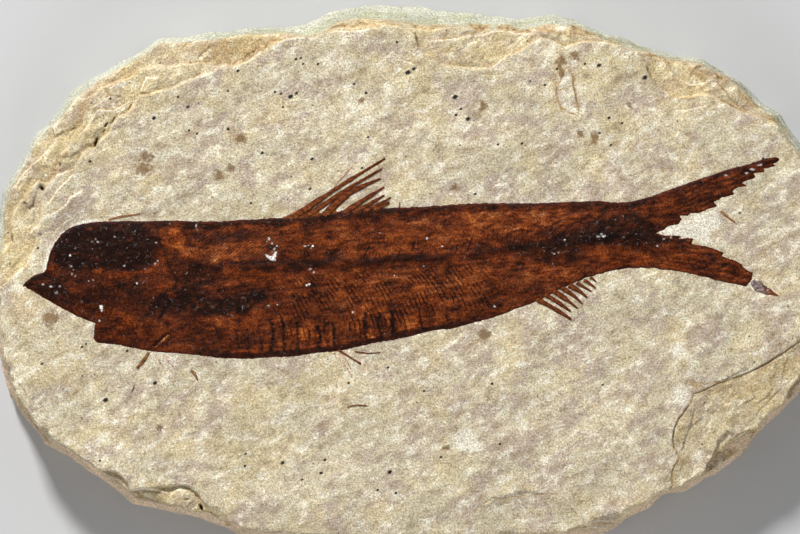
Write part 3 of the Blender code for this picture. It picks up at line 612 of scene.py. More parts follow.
# Edges of thin flakes: step in mm, how far it dies away in mm, and line.
FLAKES = (
    (0.22, 3.0, ((160, 77.8), (152.7, 77.8), (145.3, 77), (142.8, 83.2), (141.1, 87.4), (137.8, 93.2))),
    (0.20, 2.5, ((133, 100), (121.2, 105.6), (112.9, 109.8), (104.6, 110), (97.2, 110), (92.2, 118),
      (88, 124.7), (83.1, 129.7), (83.1, 137.1), (79.8, 142.1))),
    (0.22, 3.0, ((121, 83.6), (115.4, 84), (110.4, 88.2), (109.6, 93.2), (110.5, 98.5))),
    (0.14, 2.2, ((117, 95), (104, 99), (97, 104), (90, 108))),
    (0.18, 3.2, ((74.6, 172), (67, 179.7), (59.3, 188.3), (53.6, 195), (48.8, 202.6), (42.1, 207.4))),
    (0.16, 3.0, ((86.1, 188.3), (80.4, 191.1), (70.8, 196.9), (67, 203), (61.2, 208.4), (55.5, 212.2),
      (47.8, 215.1), (41.1, 220.8))),
    (0.20, 3.0, ((20, 201.5), (30.6, 207.4), (36.4, 208.4))),
    (0.20, 2.4, ((39, 225), (33.5, 228.5), (29.7, 234.2), (35, 239))),
    (0.12, 2.5, ((47.8, 257.2), (41.1, 261), (31.6, 265.8), (23.9, 273.4))),
    (0.25, 3.0, ((43.1, 152.9), (33.5, 163.4), (23.9, 171.1), (19.1, 177.8), (15.3, 186.4), (6.7, 190.2))),
    (0.22, 3.5, ((55.3, 136.3), (54.9, 142.1), (46.6, 150.4), (38.3, 159.5), (30, 166.1))),
    (0.15, 2.0, ((47.8, 121.4), (52.4, 128), (55.3, 136.3))),
    (0.12, 2.5, ((76.3, 216), (67, 221), (57, 229), (50, 238))),
    (0.15, 3.0, ((420.6, 42.2), (440.9, 40.3), (455.7, 38.5), (466.8, 35.7), (477.9, 35.7), (492, 31),
      (507.5, 29.2), (514.8, 32.9), (529.6, 33.9), (541, 31))),
    (0.15, 2.5, ((660, 60), (666.3, 64.2), (671.4, 70.6), (681.6, 80.8), (689.3, 84), (699.5, 83.4),
      (713, 80))),
    (-0.12, 2.5, ((669, 96), (681.6, 99.5), (691, 98.8), (702, 95))),
    (0.10, 2.0, ((680, 111), (692, 109), (703, 107.5), (709, 104))),
    (0.12, 2.0, ((418, 66), (405, 61), (396, 55), (390, 50))),
    (0.16, 2.2, ((694.7, 399.4), (693.6, 411.3), (690.4, 423.3), (686, 434.1), (682.8, 447.1),
      (677.4, 453.6))),
    (0.10, 1.6, ((691.5, 380.4), (708.8, 382.1), (720.7, 380.4), (735.9, 373.4), (754.4, 364.7))),
    (0.3, 2.5, ((735.9, 432), (727.2, 430.9), (718.6, 438.5), (716.4, 447.1), (712.1, 456.9))),
    (0.12, 2.2, ((16.6, 381.6), (24.9, 389.9), (29.9, 401.5))),
    (0.15, 1.6, ((97.8, 471.1), (106.1, 469.5), (116.1, 471.1), (124.4, 477.7), (127.7, 482.7))),
    (0.18, 2.2, ((129.4, 491), (144.3, 489.4), (159.2, 491), (167.5, 496))),
    (0.09, 2.5, ((474, 534), (471.5, 520), (474, 510), (481, 503), (491, 498), (510, 495.5), (530, 495),
      (550, 492), (561, 495.5), (568, 501), (573, 508), (579, 516), (590, 522))),
    (0.10, 2.0, ((586, 523), (600, 521), (616, 522), (626, 519), (640, 511))),
)
# Where the lamina under the face rises almost flush with it: line, step left in mm, reach in mm.
FEATHER_LINE = ((810, 338), (794.5, 346), (782.5, 352.5), (768.5, 362.5), (757.5, 368), (747, 373.5),
                (736, 378), (720.5, 382), (707.5, 388.5), (694.5, 394), (691.5, 402.5), (685, 410.5),
                (678.5, 419), (674, 427.5), (672.5, 438.5), (674, 447), (678, 454.5), (679, 459),
                (673.5, 469), (671.5, 476.5), (673, 485), (668, 491), (664, 497))
FEATHER_STEP = 0.07
FEATHER_REACH = 4.5
# Cracks: depth and half width in mm, and line; the depth also sets how dark their painted shade is.
CRACKS = (
    (0.6, 0.08, ((132, 104), (128.7, 110.2))), (0.6, 0.07, ((114.6, 116.4), (110.8, 123.8))),
    (0.9, 0.08, ((107.5, 123.2), (105.2, 126.8))), (0.6, 0.06, ((105, 128.8), (103, 133))),
    (1.2, 0.10, ((97.3, 139.2), (96, 142.5), (95, 145.4))), (0.5, 0.06, ((139.5, 70.4), (133.6, 74.9))),
    (0.4, 0.07, ((144.8, 77), (141.1, 83.2))), (0.5, 0.06, ((199.4, 73.1), (191.8, 78.6))),
    (0.9, 0.10, ((60.5, 163.6), (59, 166))), (0.6, 0.08, ((57.5, 167.5), (55.5, 171), (54.5, 177))),
    (1.2, 0.14, ((40.4, 187.4), (42, 189.6))), (0.7, 0.09, ((23, 201.8), (26.2, 203.7))),
    (0.9, 0.08, ((10.6, 233), (11.2, 241.5))), (0.6, 0.08, ((-1, 286), (8.5, 280.5))),
    (0.7, 0.08, ((415, 33), (417, 39), (418.7, 46))), (0.6, 0.07, ((646.5, 66), (648, 72), (652.3, 79))),
    (0.6, 0.08, ((718, 81.5), (722.4, 87.2), (727.6, 93.6))),
    (0.5, 0.06, ((731.4, 99), (740.3, 108), (753, 114))), (0.5, 0.06, ((662.5, 92.3), (665, 102.5))),
    (0.6, 0.10, ((714.2, 427.6), (714.3, 434.6))), (0.6, 0.08, ((180.8, 499.6), (190.7, 499.2))),
    (1.2, 0.13, ((200.5, 505.5), (201.6, 510))), (0.5, 0.06, ((99.5, 477.4), (106, 476))),
    (0.4, 0.06, ((68, 452.6), (77.9, 455), (83, 460), (86.5, 465))),
    (0.65, 0.08, ((812, 333), (794.5, 346.3), (782.6, 352.8), (768.5, 362.5), (757.6, 368),
      (735.9, 378.3))),
    (0.55, 0.08, ((735.9, 378.3), (720.5, 382.5), (707.5, 388.5), (694.5, 394.5), (691.5, 402.5),
      (685, 410.3))),
    (0.65, 0.08, ((688, 406), (678.4, 418.9), (674.1, 427.6), (672.5, 438.5), (674.1, 447), (678, 454.5))),
    (0.60, 0.08, ((677.5, 454), (679, 459), (673.6, 468.8), (671.4, 476.4), (673, 485), (669, 492))),
    (0.5, 0.07, ((751, 431.3), (746.8, 431.5), (738.1, 436), (731.6, 442.5))),
    (0.4, 0.06, ((716.4, 447.1), (712.1, 456.9), (707.7, 463.4))),
    (0.5, 0.09, ((567, 67), (562, 77), (558, 85), (556.5, 92), (558.5, 103), (562, 111))),
    (0.6, 0.10, ((570.5, 69), (573, 78), (574, 88), (577, 99), (578.5, 108), (578, 114))),
    (0.4, 0.07, ((573, 84), (567, 88), (558, 90))), (0.5, 0.10, ((560.5, 107), (569, 112), (577.5, 115))),
    (0.5, 0.06, ((236, 64), (247, 59.5), (257, 52.5), (270, 45), (281, 39.5))),
    (0.4, 0.05, ((664, 61), (670, 70), (681, 81), (690, 86), (700, 84))),
    (0.4, 0.05, ((265, 119), (272, 122), (280, 121), (290, 120))),
)
# Iron-stained patches: outline, softness in pixels, strength.
RUST = (
    (((199, 43), (222, 38), (245, 35.5), (282, 35), (276, 42), (262, 48), (255, 54), (244, 60), (238, 64),
      (222, 65), (205, 61), (198, 52)), 4, 0.42),
    (((248, 51), (258, 44), (270, 37.5), (281, 35), (280, 41), (268, 47.5), (256, 53)), 2.0, 0.9),
    (((238, 58), (246, 54), (254, 48), (257, 52), (247, 59), (240, 64)), 1.5, 1.0),
    (((335, 22.5), (380, 22), (380, 26), (335, 27)), 1.5, 0.5),
    (((419, 26), (445, 23.5), (446, 27), (420, 30)), 1.5, 0.6),
    (((466, 22), (490, 21.5), (489, 27), (478, 31), (472, 27)), 1.5, 0.85),
    (((495, 24.5), (508, 25), (520, 30), (532, 30.5), (532, 34), (512, 32), (497, 28)), 1.3, 0.9),
    (((541, 30), (567, 30), (568, 34), (541, 33.5)), 1.3, 0.7),
    (((569, 32), (573, 23), (583, 24), (597, 34), (588, 36), (570, 35)), 1.5, 0.9),
    (((607, 39.5), (613, 40.5), (619, 45), (612, 44)), 1.2, 0.8),
    (((645, 51.5), (650, 53), (657, 56.5), (652, 57.5)), 1.2, 0.9),
    (((661, 57), (667, 59), (673, 62), (668, 64.5)), 1.2, 0.8),
    (((687, 66), (698, 68), (710, 76), (706, 79), (698, 77), (688, 72)), 2.5, 0.7),
    (((713, 71), (720, 74), (727, 80.5), (720, 80)), 1.5, 0.8),
    (((739, 89), (746, 93), (757, 103), (764, 107), (760, 110), (750, 104), (742, 97)), 2.0, 0.8),
    (((764, 110), (770, 112), (780, 122), (773, 122)), 2.0, 0.6),
    (((784, 125), (789, 128), (796, 136), (790, 134)), 1.5, 0.7),
    (((751, 433), (764, 429), (767, 434), (760, 442), (752, 441)), 2.0, 0.6),
    (((724, 452), (735, 449), (743, 451), (737, 460), (726, 461)), 2.0, 0.6),
    (((684, 380), (700, 381.5), (708, 384), (697, 389), (689, 386)), 2.0, 0.5),
    (((725, 440), (740, 436), (750, 433), (757, 437), (740, 452), (726, 457), (716, 470), (709, 474)), 3,
      0.22),
    (((700, 388), (740, 381), (790, 352), (800, 346), (800, 372), (770, 386), (738, 402), (722, 412),
      (706, 406)), 6, 0.24),
    (((5, 203), (11, 203), (9, 226), (12, 243), (6, 250), (3, 230)), 2.5, 0.35),
    (((21, 184), (32, 177), (33, 187), (26, 198), (19, 202), (15, 207)), 3, 0.40),
    (((79, 104), (87, 96), (99, 84), (101, 88), (88, 100), (84, 113), (83, 124), (76, 133), (73, 130)),
      2.0, 0.42),
    (((54, 157), (68, 148), (70, 152), (61, 160), (56, 170), (52, 181), (47, 182)), 2.5, 0.42),
    (((130, 64), (166, 52), (199, 45), (200, 62), (166, 66), (140, 70), (130, 74), (100, 86), (100, 83)),
      4, 0.22),
    (((0, 376), (10, 388), (20, 401), (41, 434), (58, 452), (60, 458), (40, 446), (14, 412), (-4, 385)),
      2.0, 0.42),
    (((557, 66), (562, 63), (560, 76), (556.5, 92), (558, 104), (563, 113), (559, 112), (554, 96)), 1.3,
      0.6),
    (((571, 68), (574.5, 76), (576, 90), (579, 103), (581, 113), (576, 108), (573, 92)), 1.0, 0.5),
    (((136, 495), (143, 494), (143, 500), (137, 501)), 1.5, 0.7),
    (((224, 521), (232, 523), (234, 528), (226, 528)), 2.0, 0.6),
)
# Freshly broken or scraped stone: outline, softness in pixels, strength.
FRESH = (
    (((116, 83), (122, 81), (126, 83), (124, 87), (117, 87)), 1.5, 1.0),
    (((243, 60), (250, 55), (258, 50.5), (262, 50), (256, 56), (247, 61.5)), 0.8, 0.9),
    (((655, 233.5), (668, 227), (683, 222), (700, 214), (716, 210), (722, 222), (712, 236), (716, 246),
      (706, 246), (694, 240), (683, 237), (668, 236.5)), 2.0, 0.85),
    (((44, 273), (46, 260), (51, 247), (60, 236), (75, 223), (86, 219.5), (99, 219), (99, 222), (86, 224),
      (76, 229), (63, 241), (54, 252), (51, 263), (47, 274)), 0.7, 1.0),
    (((20, 287), (28, 279), (38, 273), (46, 271), (46, 274), (38, 277), (24, 289)), 0.8, 0.6),
    (((566, 67), (561, 78), (558, 92), (560, 104), (566, 112), (577, 112), (575, 92), (572, 76)), 1.0,
      0.25),
    (((563, 107), (571, 109), (577, 106), (578, 114), (566, 114)), 1.2, 0.8),
    (((452, 434), (462, 430), (474, 434), (480, 444), (474, 452), (461, 450), (454, 444)), 4, 0.75),
    (((666, 350), (676, 346), (688, 350), (686, 358), (672, 358)), 4, 0.8),
    (((673, 388), (684, 386), (688, 396), (683, 408), (674, 404)), 4, 0.6),
    (((750, 281), (754, 278), (759, 281), (753, 285), (753, 291), (749, 287)), 1.0, 0.9),
    (((335, 352), (352, 352), (358, 372), (346, 378)), 3, 0.45),
    (((152, 353), (176, 354), (182, 366), (160, 368)), 4, 0.5),
    (((775, 378), (783, 374), (790, 382), (780, 390)), 4, 0.5),
    (((693, 448), (704, 450), (702, 462), (693, 466)), 4, 0.6),
    (((404, 447), (414, 445), (417, 452), (408, 456)), 2.5, 0.6),
)
# Where a lens-shaped flake has come off and left a fresh hollow.
LENS = ((566, 66), (562, 76), (558, 85), (556.5, 92), (558.5, 103), (562, 111), (568, 113), (577, 114),
        (578.5, 108), (577, 99), (574, 88), (573, 78), (570.5, 69))
LENS_DEPTH = 0.05

# Shell-shaped chips struck from the rim, in mm: middle, reach along X and Y, and depth.
CHIPS_STRUCK = (
    ((12.6, -31.6), 7.3, 6.7, 0.9), ((22.8, -31.4), 4.8, 3.9, 1.0), ((-39.8, -22.4), 1.9, 1.7, 1.0),
    ((-35.6, -24.9), 2.1, 2.0, 1.1), ((-31.4, -26.8), 3.0, 2.2, 1.0), ((-24.4, -28.6), 2.6, 2.2, 1.0),
    ((38.4, -20.6), 4.0, 2.8, 1.5), ((-44.4, 16.6), 2.6, 1.8, 1.6), ((-20.0, 29.2), 4.6, 1.5, 1.6),
    ((31.0, 25.6), 4.4, 1.2, 1.6),
)

RINGS = np.concatenate([[0.02, 0.12, 0.32], np.linspace(0.58, 6.72, 25)])
RING_POINTS = 1000
LEDGE = 1.2  # pixels either side of a ledge's line over which it drops
LEAF = 0.13  # thickness of the thin beds that end outside the face
LEAF_TURN = math.radians(42)
FINE = 0.12  # spacing of the points of the top, where it breaks
COARSE = 3  # elsewhere one point in so many
BURIED = 9  # and under the fish one in so many
BREAK = 0.035  # the top breaks where points beside each other differ by more than this
PAINTED = 0.12  # the difference that full paint counts as
RIM_CLEAR = 0.09
DIAGONAL = math.radians(28)


def polar(points):
    return np.arctan2(points[:, 1], points[:, 0]) % (2 * math.pi), np.hypot(points[:, 0], points[:, 1])


def side_radii(angles):
    """The distance of the CAD slab's side from the middle, at each ring's height and angle."""
    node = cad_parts["limestone_slab"]
    mesh = node.data
    corners = [node.matrix_world @ v.co / MM for v in mesh.vertices]
    tree = bvhtree.BVHTree.FromPolygons(corners, [tuple(f.vertices) for f in mesh.polygons])
    radii = np.empty((len(RINGS), len(angles)))
    for i, height in enumerate(RINGS):
        for j, angle in enumerate(angles):
            way = Vector((math.cos(angle), math.sin(angle), 0))
            hit = tree.ray_cast(Vector((0, 0, height)), way)[0]
            radii[i, j] = math.hypot(hit.x, hit.y)
    return radii


def side_wear(spots):
    """How far the broken side is worn in from the CAD's, in mm."""
    beds = rough(spots, 1.0, 41, 3, (4.0, 4.0, 0.75))
    chunks = rough(spots, 2.6, 51, 3, (1, 1, 0.7))
    grit = rough(spots, 0.6, 55, 2, (1.6, 1.6, 0.7))
    return np.clip(0.10 - 0.20 * beds - 0.20 * chunks - 0.07 * grit, -0.05, 0.7)


def wandering(p):
    """Pixels moved a little, so that drawn lines break as stone does."""
    return p + drift(p, 9, 171) * 0.7


def leaves(spots):
    """Ragged terraces, a whole number high in their middles, as where thin beds of stone end."""
    rise = 2.2 * rough(spots, 4.5, 231, 4, (2.0, 1, 1), LEAF_TURN)
    level = np.floor(rise)
    return level + ease(0, 0.22, rise - level)


def flaked(q, height, ochre_and_shadow, edge):
    """Raises the thin flakes beside their lines, with a painted highlight along each edge and a painted
    shadow line in yellow-brown below it.
    """
    for step, reach, line in FLAKES:
        k = near(q, line, 4 * reach / PIXEL)
        d, along = distance(q[k], line)
        inner = ease(-LEDGE, LEDGE, d * (2 * toward_middle(q[k], line) - 1))
        fade = ease(0, 0.15, along) * ease(1, 0.85, along)
        height[k] += 1.5 * step * fade * inner * np.exp(-d * PIXEL / reach)
        # Painted highlight along the edge of each rising flake.
        edge[k] = np.maximum(edge[k], fade * np.exp(-((d / 0.9) ** 2)) * (step > 0))
        # Painted shadow: a yellow-brown line at the foot of the step.
        ochre_and_shadow[k] = np.maximum(ochre_and_shadow[k], 0.65 * fade * (1 - inner) * np.exp(-(((d - 0.8) / 0.9) ** 2)))


def cracked(q, height, crack, ochre_and_shadow):
    """Sinks the cracks, painted dark as shade where they are deep, and yellow-brown all along."""
    for depth, half, line in CRACKS:
        k = near(q, line, 6)
        d, along = distance(q[k], line)
        share = (1 - 0.4 * (2 * along - 1) ** 2) * np.exp(-((d * PIXEL / half) ** 2))
        open_share = ease(0.3, 1.2, depth)
        height[k] -= depth * open_share * share
        crack[k] = np.maximum(crack[k], share * open_share)
        ochre_and_shadow[k] = np.maximum(ochre_and_shadow[k], share)


def struck(spots, height):
    """The height with the shell-shaped chips of the rim taken off, at spots in mm."""
    for middle, reach_x, reach_y, depth in CHIPS_STRUCK:
        bowl = 1 - (((spots - middle) / (reach_x, reach_y)) ** 2).sum(axis=1)
        waves_of_break = 0.03 * np.sin(9 * np.sqrt(np.maximum(1 - bowl, 0)))
        floor = FACE - depth * np.maximum(bowl, 0) ** 0.75 + waves_of_break
        height = np.where(bowl > 0, np.minimum(height, floor), height)
    return height


def broken_top(p):
    """Height of the slab's top in mm at picture pixels p, with shares of crack with its painted shade,
    yellow-brown with painted shadow lines, and painted highlight.
    """
    q = wandering(p)
    height = np.full(len(p), RIM)
    crack, ochre_and_shadow, edge = np.zeros((3, len(p)))
    for outline, rise in ((SHELF_EDGE, SHELF - RIM), (FACE_EDGE, FACE - SHELF)):
        height += rise * ease(-LEDGE, LEDGE, from_edge(q, outline, LEDGE))
    k = near(q, FEATHER_LINE, 6 * FEATHER_REACH / PIXEL)
    below, along = distance(q[k], FEATHER_LINE)
    ramp = FACE - FEATHER_STEP - (FACE - SHELF) * (1 - np.exp(-below * PIXEL / FEATHER_REACH))
    ramp = np.where(ease(0, 0.06, along) * ease(1, 0.94, along) > 0.5, ramp, 0)
    height[k] = np.maximum(height[k], ramp * inside(q[k], SHELF_EDGE))
    flaked(q, height, ochre_and_shadow, edge)
    cracked(q, height, crack, ochre_and_shadow)
    clear = ease(-2, -14, from_edge(p, FISH_EDGE, 14))
    height = np.minimum(height, FACE) + clear * np.maximum(height - FACE, 0)
    k = near(q, LENS, 5)
    d, _ = distance(q[k], [*LENS, LENS[0]])
    within = inside(q[k], LENS)
    height[k] -= within * (LENS_DEPTH * ease(0, 3, d) + 0.03)
    outer = ease(0, -8, from_edge(q, FACE_EDGE, 8))
    height += LEAF * outer * leaves(at(p))
    return struck(at(p), height), crack, ochre_and_shadow, edge


def frayed(p):
    """The places moved a little, so that what is drawn at them has an uneven edge."""
    return p + drift(p, 8, 191) * 2


def rusted(p):
    """How rusty the stone is, from 0 to 1."""
    q = frayed(p)
    rust = np.zeros(len(p))
    for outline, soft, amount in RUST:
        k = near(q, outline, soft + 3)
        blotch = np.minimum(0.55 + 0.6 * ease(-0.5, 0.4, rough(q[k], 3.5, 211, 3)), 1)
        rust[k] = np.maximum(rust[k], amount * patch(q[k], outline, soft) * blotch)
    return rust


def stone_marks(p, crack, ochre_and_shadow, edge):
    """Rust with painted shadow lines, freshly broken white with painted highlights, darkness of painted
    shade in the cracks, and share of the side band of the top, each from 0 to 1.
    """
    q = frayed(p)
    rust, fresh_and_highlight = rusted(p), np.zeros(len(p))
    for outline, soft, amount in FRESH:
        k = near(q, outline, soft + 3)
        fresh_and_highlight[k] = np.maximum(fresh_and_highlight[k], amount * patch(q[k], outline, soft))
    # The flakes' painted highlights join the fresh white.
    fresh_and_highlight = np.maximum(fresh_and_highlight, 0.8 * edge)
    # Painted shadow: a yellow-brown line just below the face's and the shelf's edges.
    for outline in (FACE_EDGE, SHELF_EDGE):
        away = from_edge(wandering(p), outline, 5)
        broken = ease(-0.3, 0.3, rough(p, 14, 241, 2))
        ochre_and_shadow = np.maximum(ochre_and_shadow, 0.5 * broken * np.exp(-(((away + 1.6) / 1.0) ** 2)))
    outer = 0.5 * ease(1, -1, from_edge(wandering(p), FACE_EDGE, 5))
    # Rust takes in the painted shadow lines and the cracks' yellow-brown.
    rust = np.maximum(rust, ochre_and_shadow * (0.6 + 0.4 * ease(-0.3, 0.3, rough(p, 12, 221, 2))))
    return np.column_stack([rust, fresh_and_highlight, np.clip(crack * 1.2, 0, 1), outer])


def ground(spots):
    """The gentle swells of the face, in mm, which the fish follows too."""
    swell = rough(spots[:, :2], 1.3, 11, 3, (1.7, 1, 1), DIAGONAL)
    return 0.036 * swell + 0.06 * rough(spots[:, :2], 5.0, 21, 3)


def top_points(rim):
    """Points for the top of the slab, close together where it breaks and sparse where it is whole."""
    fine = FINE * 1
    x, y = hexagons(rim.min(axis=0), rim.max(axis=0), fine)
    spots = np.column_stack([x.ravel(), y.ravel()])
    p = pixels(spots)
    height, crack, ochre_and_shadow, edge = broken_top(p)
    height = (height + PAINTED * (crack + ochre_and_shadow + edge)).reshape(x.shape)
    low, high = height.copy(), height.copy()
    for rows, columns in ((0, 1), (1, 0), (1, 1), (1, -1)):
        beside = np.roll(height, (rows, columns), (0, 1))
        back = np.roll(height, (-rows, -columns), (0, 1))
        low, high = np.minimum(low, np.minimum(beside, back)), np.maximum(high, np.maximum(beside, back))
    rows, columns = np.indices(x.shape)
    thin = (rows % COARSE == 0) & (columns % COARSE == 0)
    buried = inside(p, FISH_EDGE).reshape(x.shape)
    sparse = (rows % BURIED == 0) & (columns % BURIED == 0)
    keep = np.where(buried, sparse, thin | (high - low > BREAK)).ravel()
    angle, away = polar(spots)
    rim_angle, rim_away = polar(rim)
    order = np.argsort(rim_angle)
    rim_there = np.interp(angle, rim_angle[order], rim_away[order], period=2 * math.pi)
    return spots[keep & (away < rim_there - RIM_CLEAR)]


def side_rings():
    """Rings of points round the broken side, from the bottom up, as levels by points by x, y, z."""
    angles = (np.arange(RING_POINTS) + 0.5) / RING_POINTS * 2 * math.pi
    ways = np.column_stack([np.cos(angles), np.sin(angles)])
    rings = []
    for height, away in zip(RINGS, side_radii(angles)):
        spots = np.column_stack([ways * away[:, None], np.full(len(ways), height)])
        worn = away - side_wear(spots)
        rings.append(np.column_stack([ways * worn[:, None], spots[:, 2]]))
    rings[0][:, 2] = 0
    return np.array(rings)


def limestone_piece():
    rings = side_rings()
    rim = rings[-1][:, :2]
    flat, faces, _ = filled(rim, top_points(rim), FINE * 0.5)
    p = pixels(flat)
    height, crack, ochre_and_shadow, edge = broken_top(p)
    height = np.minimum(height + ground(flat) * ease(0.4, 0.0, crack), HIGHEST)
    height[: len(rim)] = rings[-1][:, 2]

    side = np.concatenate(rings[:-1])
    number = len(flat) + np.arange(len(side)).reshape(-1, RING_POINTS)
    levels = [*number, np.arange(RING_POINTS)]
    walls = [np.column_stack([lower, np.roll(lower, -1), np.roll(upper, -1), upper])
             for lower, upper in zip(levels[:-1], levels[1:])]
    under = number[0][cap(rings[0][:, :2], loop(RING_POINTS), rings[0][:, :2])[:, ::-1]]
    rust = rusted(pixels(side)) * ease(3.0, 5.0, side[:, 2])
    plain = np.zeros(len(side))
    side_marks = np.column_stack([rust, plain, plain, plain + 1])
    marks = np.concatenate([stone_marks(p, crack, ochre_and_shadow, edge), side_marks])
    points = np.concatenate([np.column_stack([flat, height]), side])
    faces = [*faces.tolist(), *np.concatenate(walls).tolist(), *under.tolist()]
    piece = show("limestone_rock", points, faces, limestone_material())
    paint(piece, "stone_marks", marks)
    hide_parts("limestone_slab")


# ---------------------------------------------------------------- the fish

BACK_LINE = (
    (22, 286), (30, 278), (38, 274), (45, 271), (48, 260), (50, 253), (56, 241), (63, 233),
    (70, 228), (77, 225), (92, 222), (120, 221), (150, 221), (172, 220.5), (215, 221.5),
    (234, 220.4), (269, 218.3), (300, 216.5), (330, 212.5), (360, 209.5), (379, 208.4),
    (400, 207.5), (434, 205.8), (478, 203.2), (520, 203.2), (555, 202.5), (589, 201),
    (620, 202.2), (636.5, 200), (652, 196), (667, 190.5), (682.5, 185), (705, 177), (728, 169.5),
    (751, 163), (763.6, 159), (774, 157.5), (783, 158.3),
)
TAIL_JAGS = (
    (783, 158.3), (773, 164.4), (776, 166), (763.6, 168.5), (765, 171), (754.4, 174), (756, 177.5),
    (742, 183), (747.5, 186), (738, 187), (733, 191), (734, 194.3), (722, 198), (714.6, 202),
    (717, 206.5), (708, 209), (698, 213.4), (690, 213.5), (688, 216), (680, 215.7), (682, 220),
    (679.4, 224), (667, 226.5), (664, 229.5), (655.7, 233.3), (667, 235.6), (675, 234.8),
    (683, 236.4), (680, 238.5), (694, 238.2), (691.6, 244), (701, 245.3), (712, 248), (724, 252.5),
    (721, 256), (733, 259.5), (742, 264.7), (743, 267.5), (753, 273), (752, 279), (746.7, 287),
)
BELLY_LINE = (
    (746.7, 287), (735, 284), (721, 281.5), (698, 275.4), (682, 272), (667, 270), (641, 267.8),
    (624, 269), (607, 272), (589, 277), (572, 284), (555, 292), (538, 300.5), (520, 307.4),
    (495, 317), (469, 324), (450, 329), (432, 331), (415, 335), (398, 339), (372, 343.5),
    (346, 349.6), (329, 352), (310, 354), (290, 356.5), (269, 357.5), (248, 359), (231, 358.2),
    (222, 358.2), (198, 355), (172, 353), (155, 351.5), (138, 349), (114, 344.5), (98, 342.7),
    (93.5, 338),
)
JAW_LINE = ((93.5, 338), (94.2, 330), (95.5, 323.5), (81, 318), (69, 312), (52, 303), (34, 292), (22, 286))
FISH_EDGE = BACK_LINE + TAIL_JAGS[1:] + BELLY_LINE[1:] + JAW_LINE[1:-1]

# The middle line of the backbone.
SPINE_LINE = (
    (160, 262), (226, 268), (303, 265), (364, 261), (440, 257), (507, 249), (555, 243), (600, 240),
    (640, 236), (656, 234),
)
FILM = 0.15  # how far the varnished edge stands above the face
FISH_UNDER = 7.9
FISH_SPACING = 0.125
EDGE_STEP = 1.1  # pixels between the points of its edge
NIBBLE = 0.45


def fish_outline():
    """The fish's edge in pixels, from the snout along the back, with small nibbles."""
    runs = [smooth_line(BACK_LINE, EDGE_STEP), straight_line(TAIL_JAGS, EDGE_STEP)[1:],
            smooth_line(BELLY_LINE, EDGE_STEP)[1:], straight_line(JAW_LINE, EDGE_STEP)[1:-1]]
    line = np.concatenate(runs)
    return line + drift(line, 3.0, 61) * NIBBLE


def lines_at(line, x):
    line = np.asarray(line, float)
    order = np.argsort(line[:, 0])
    return np.interp(x, line[order, 0], line[order, 1])


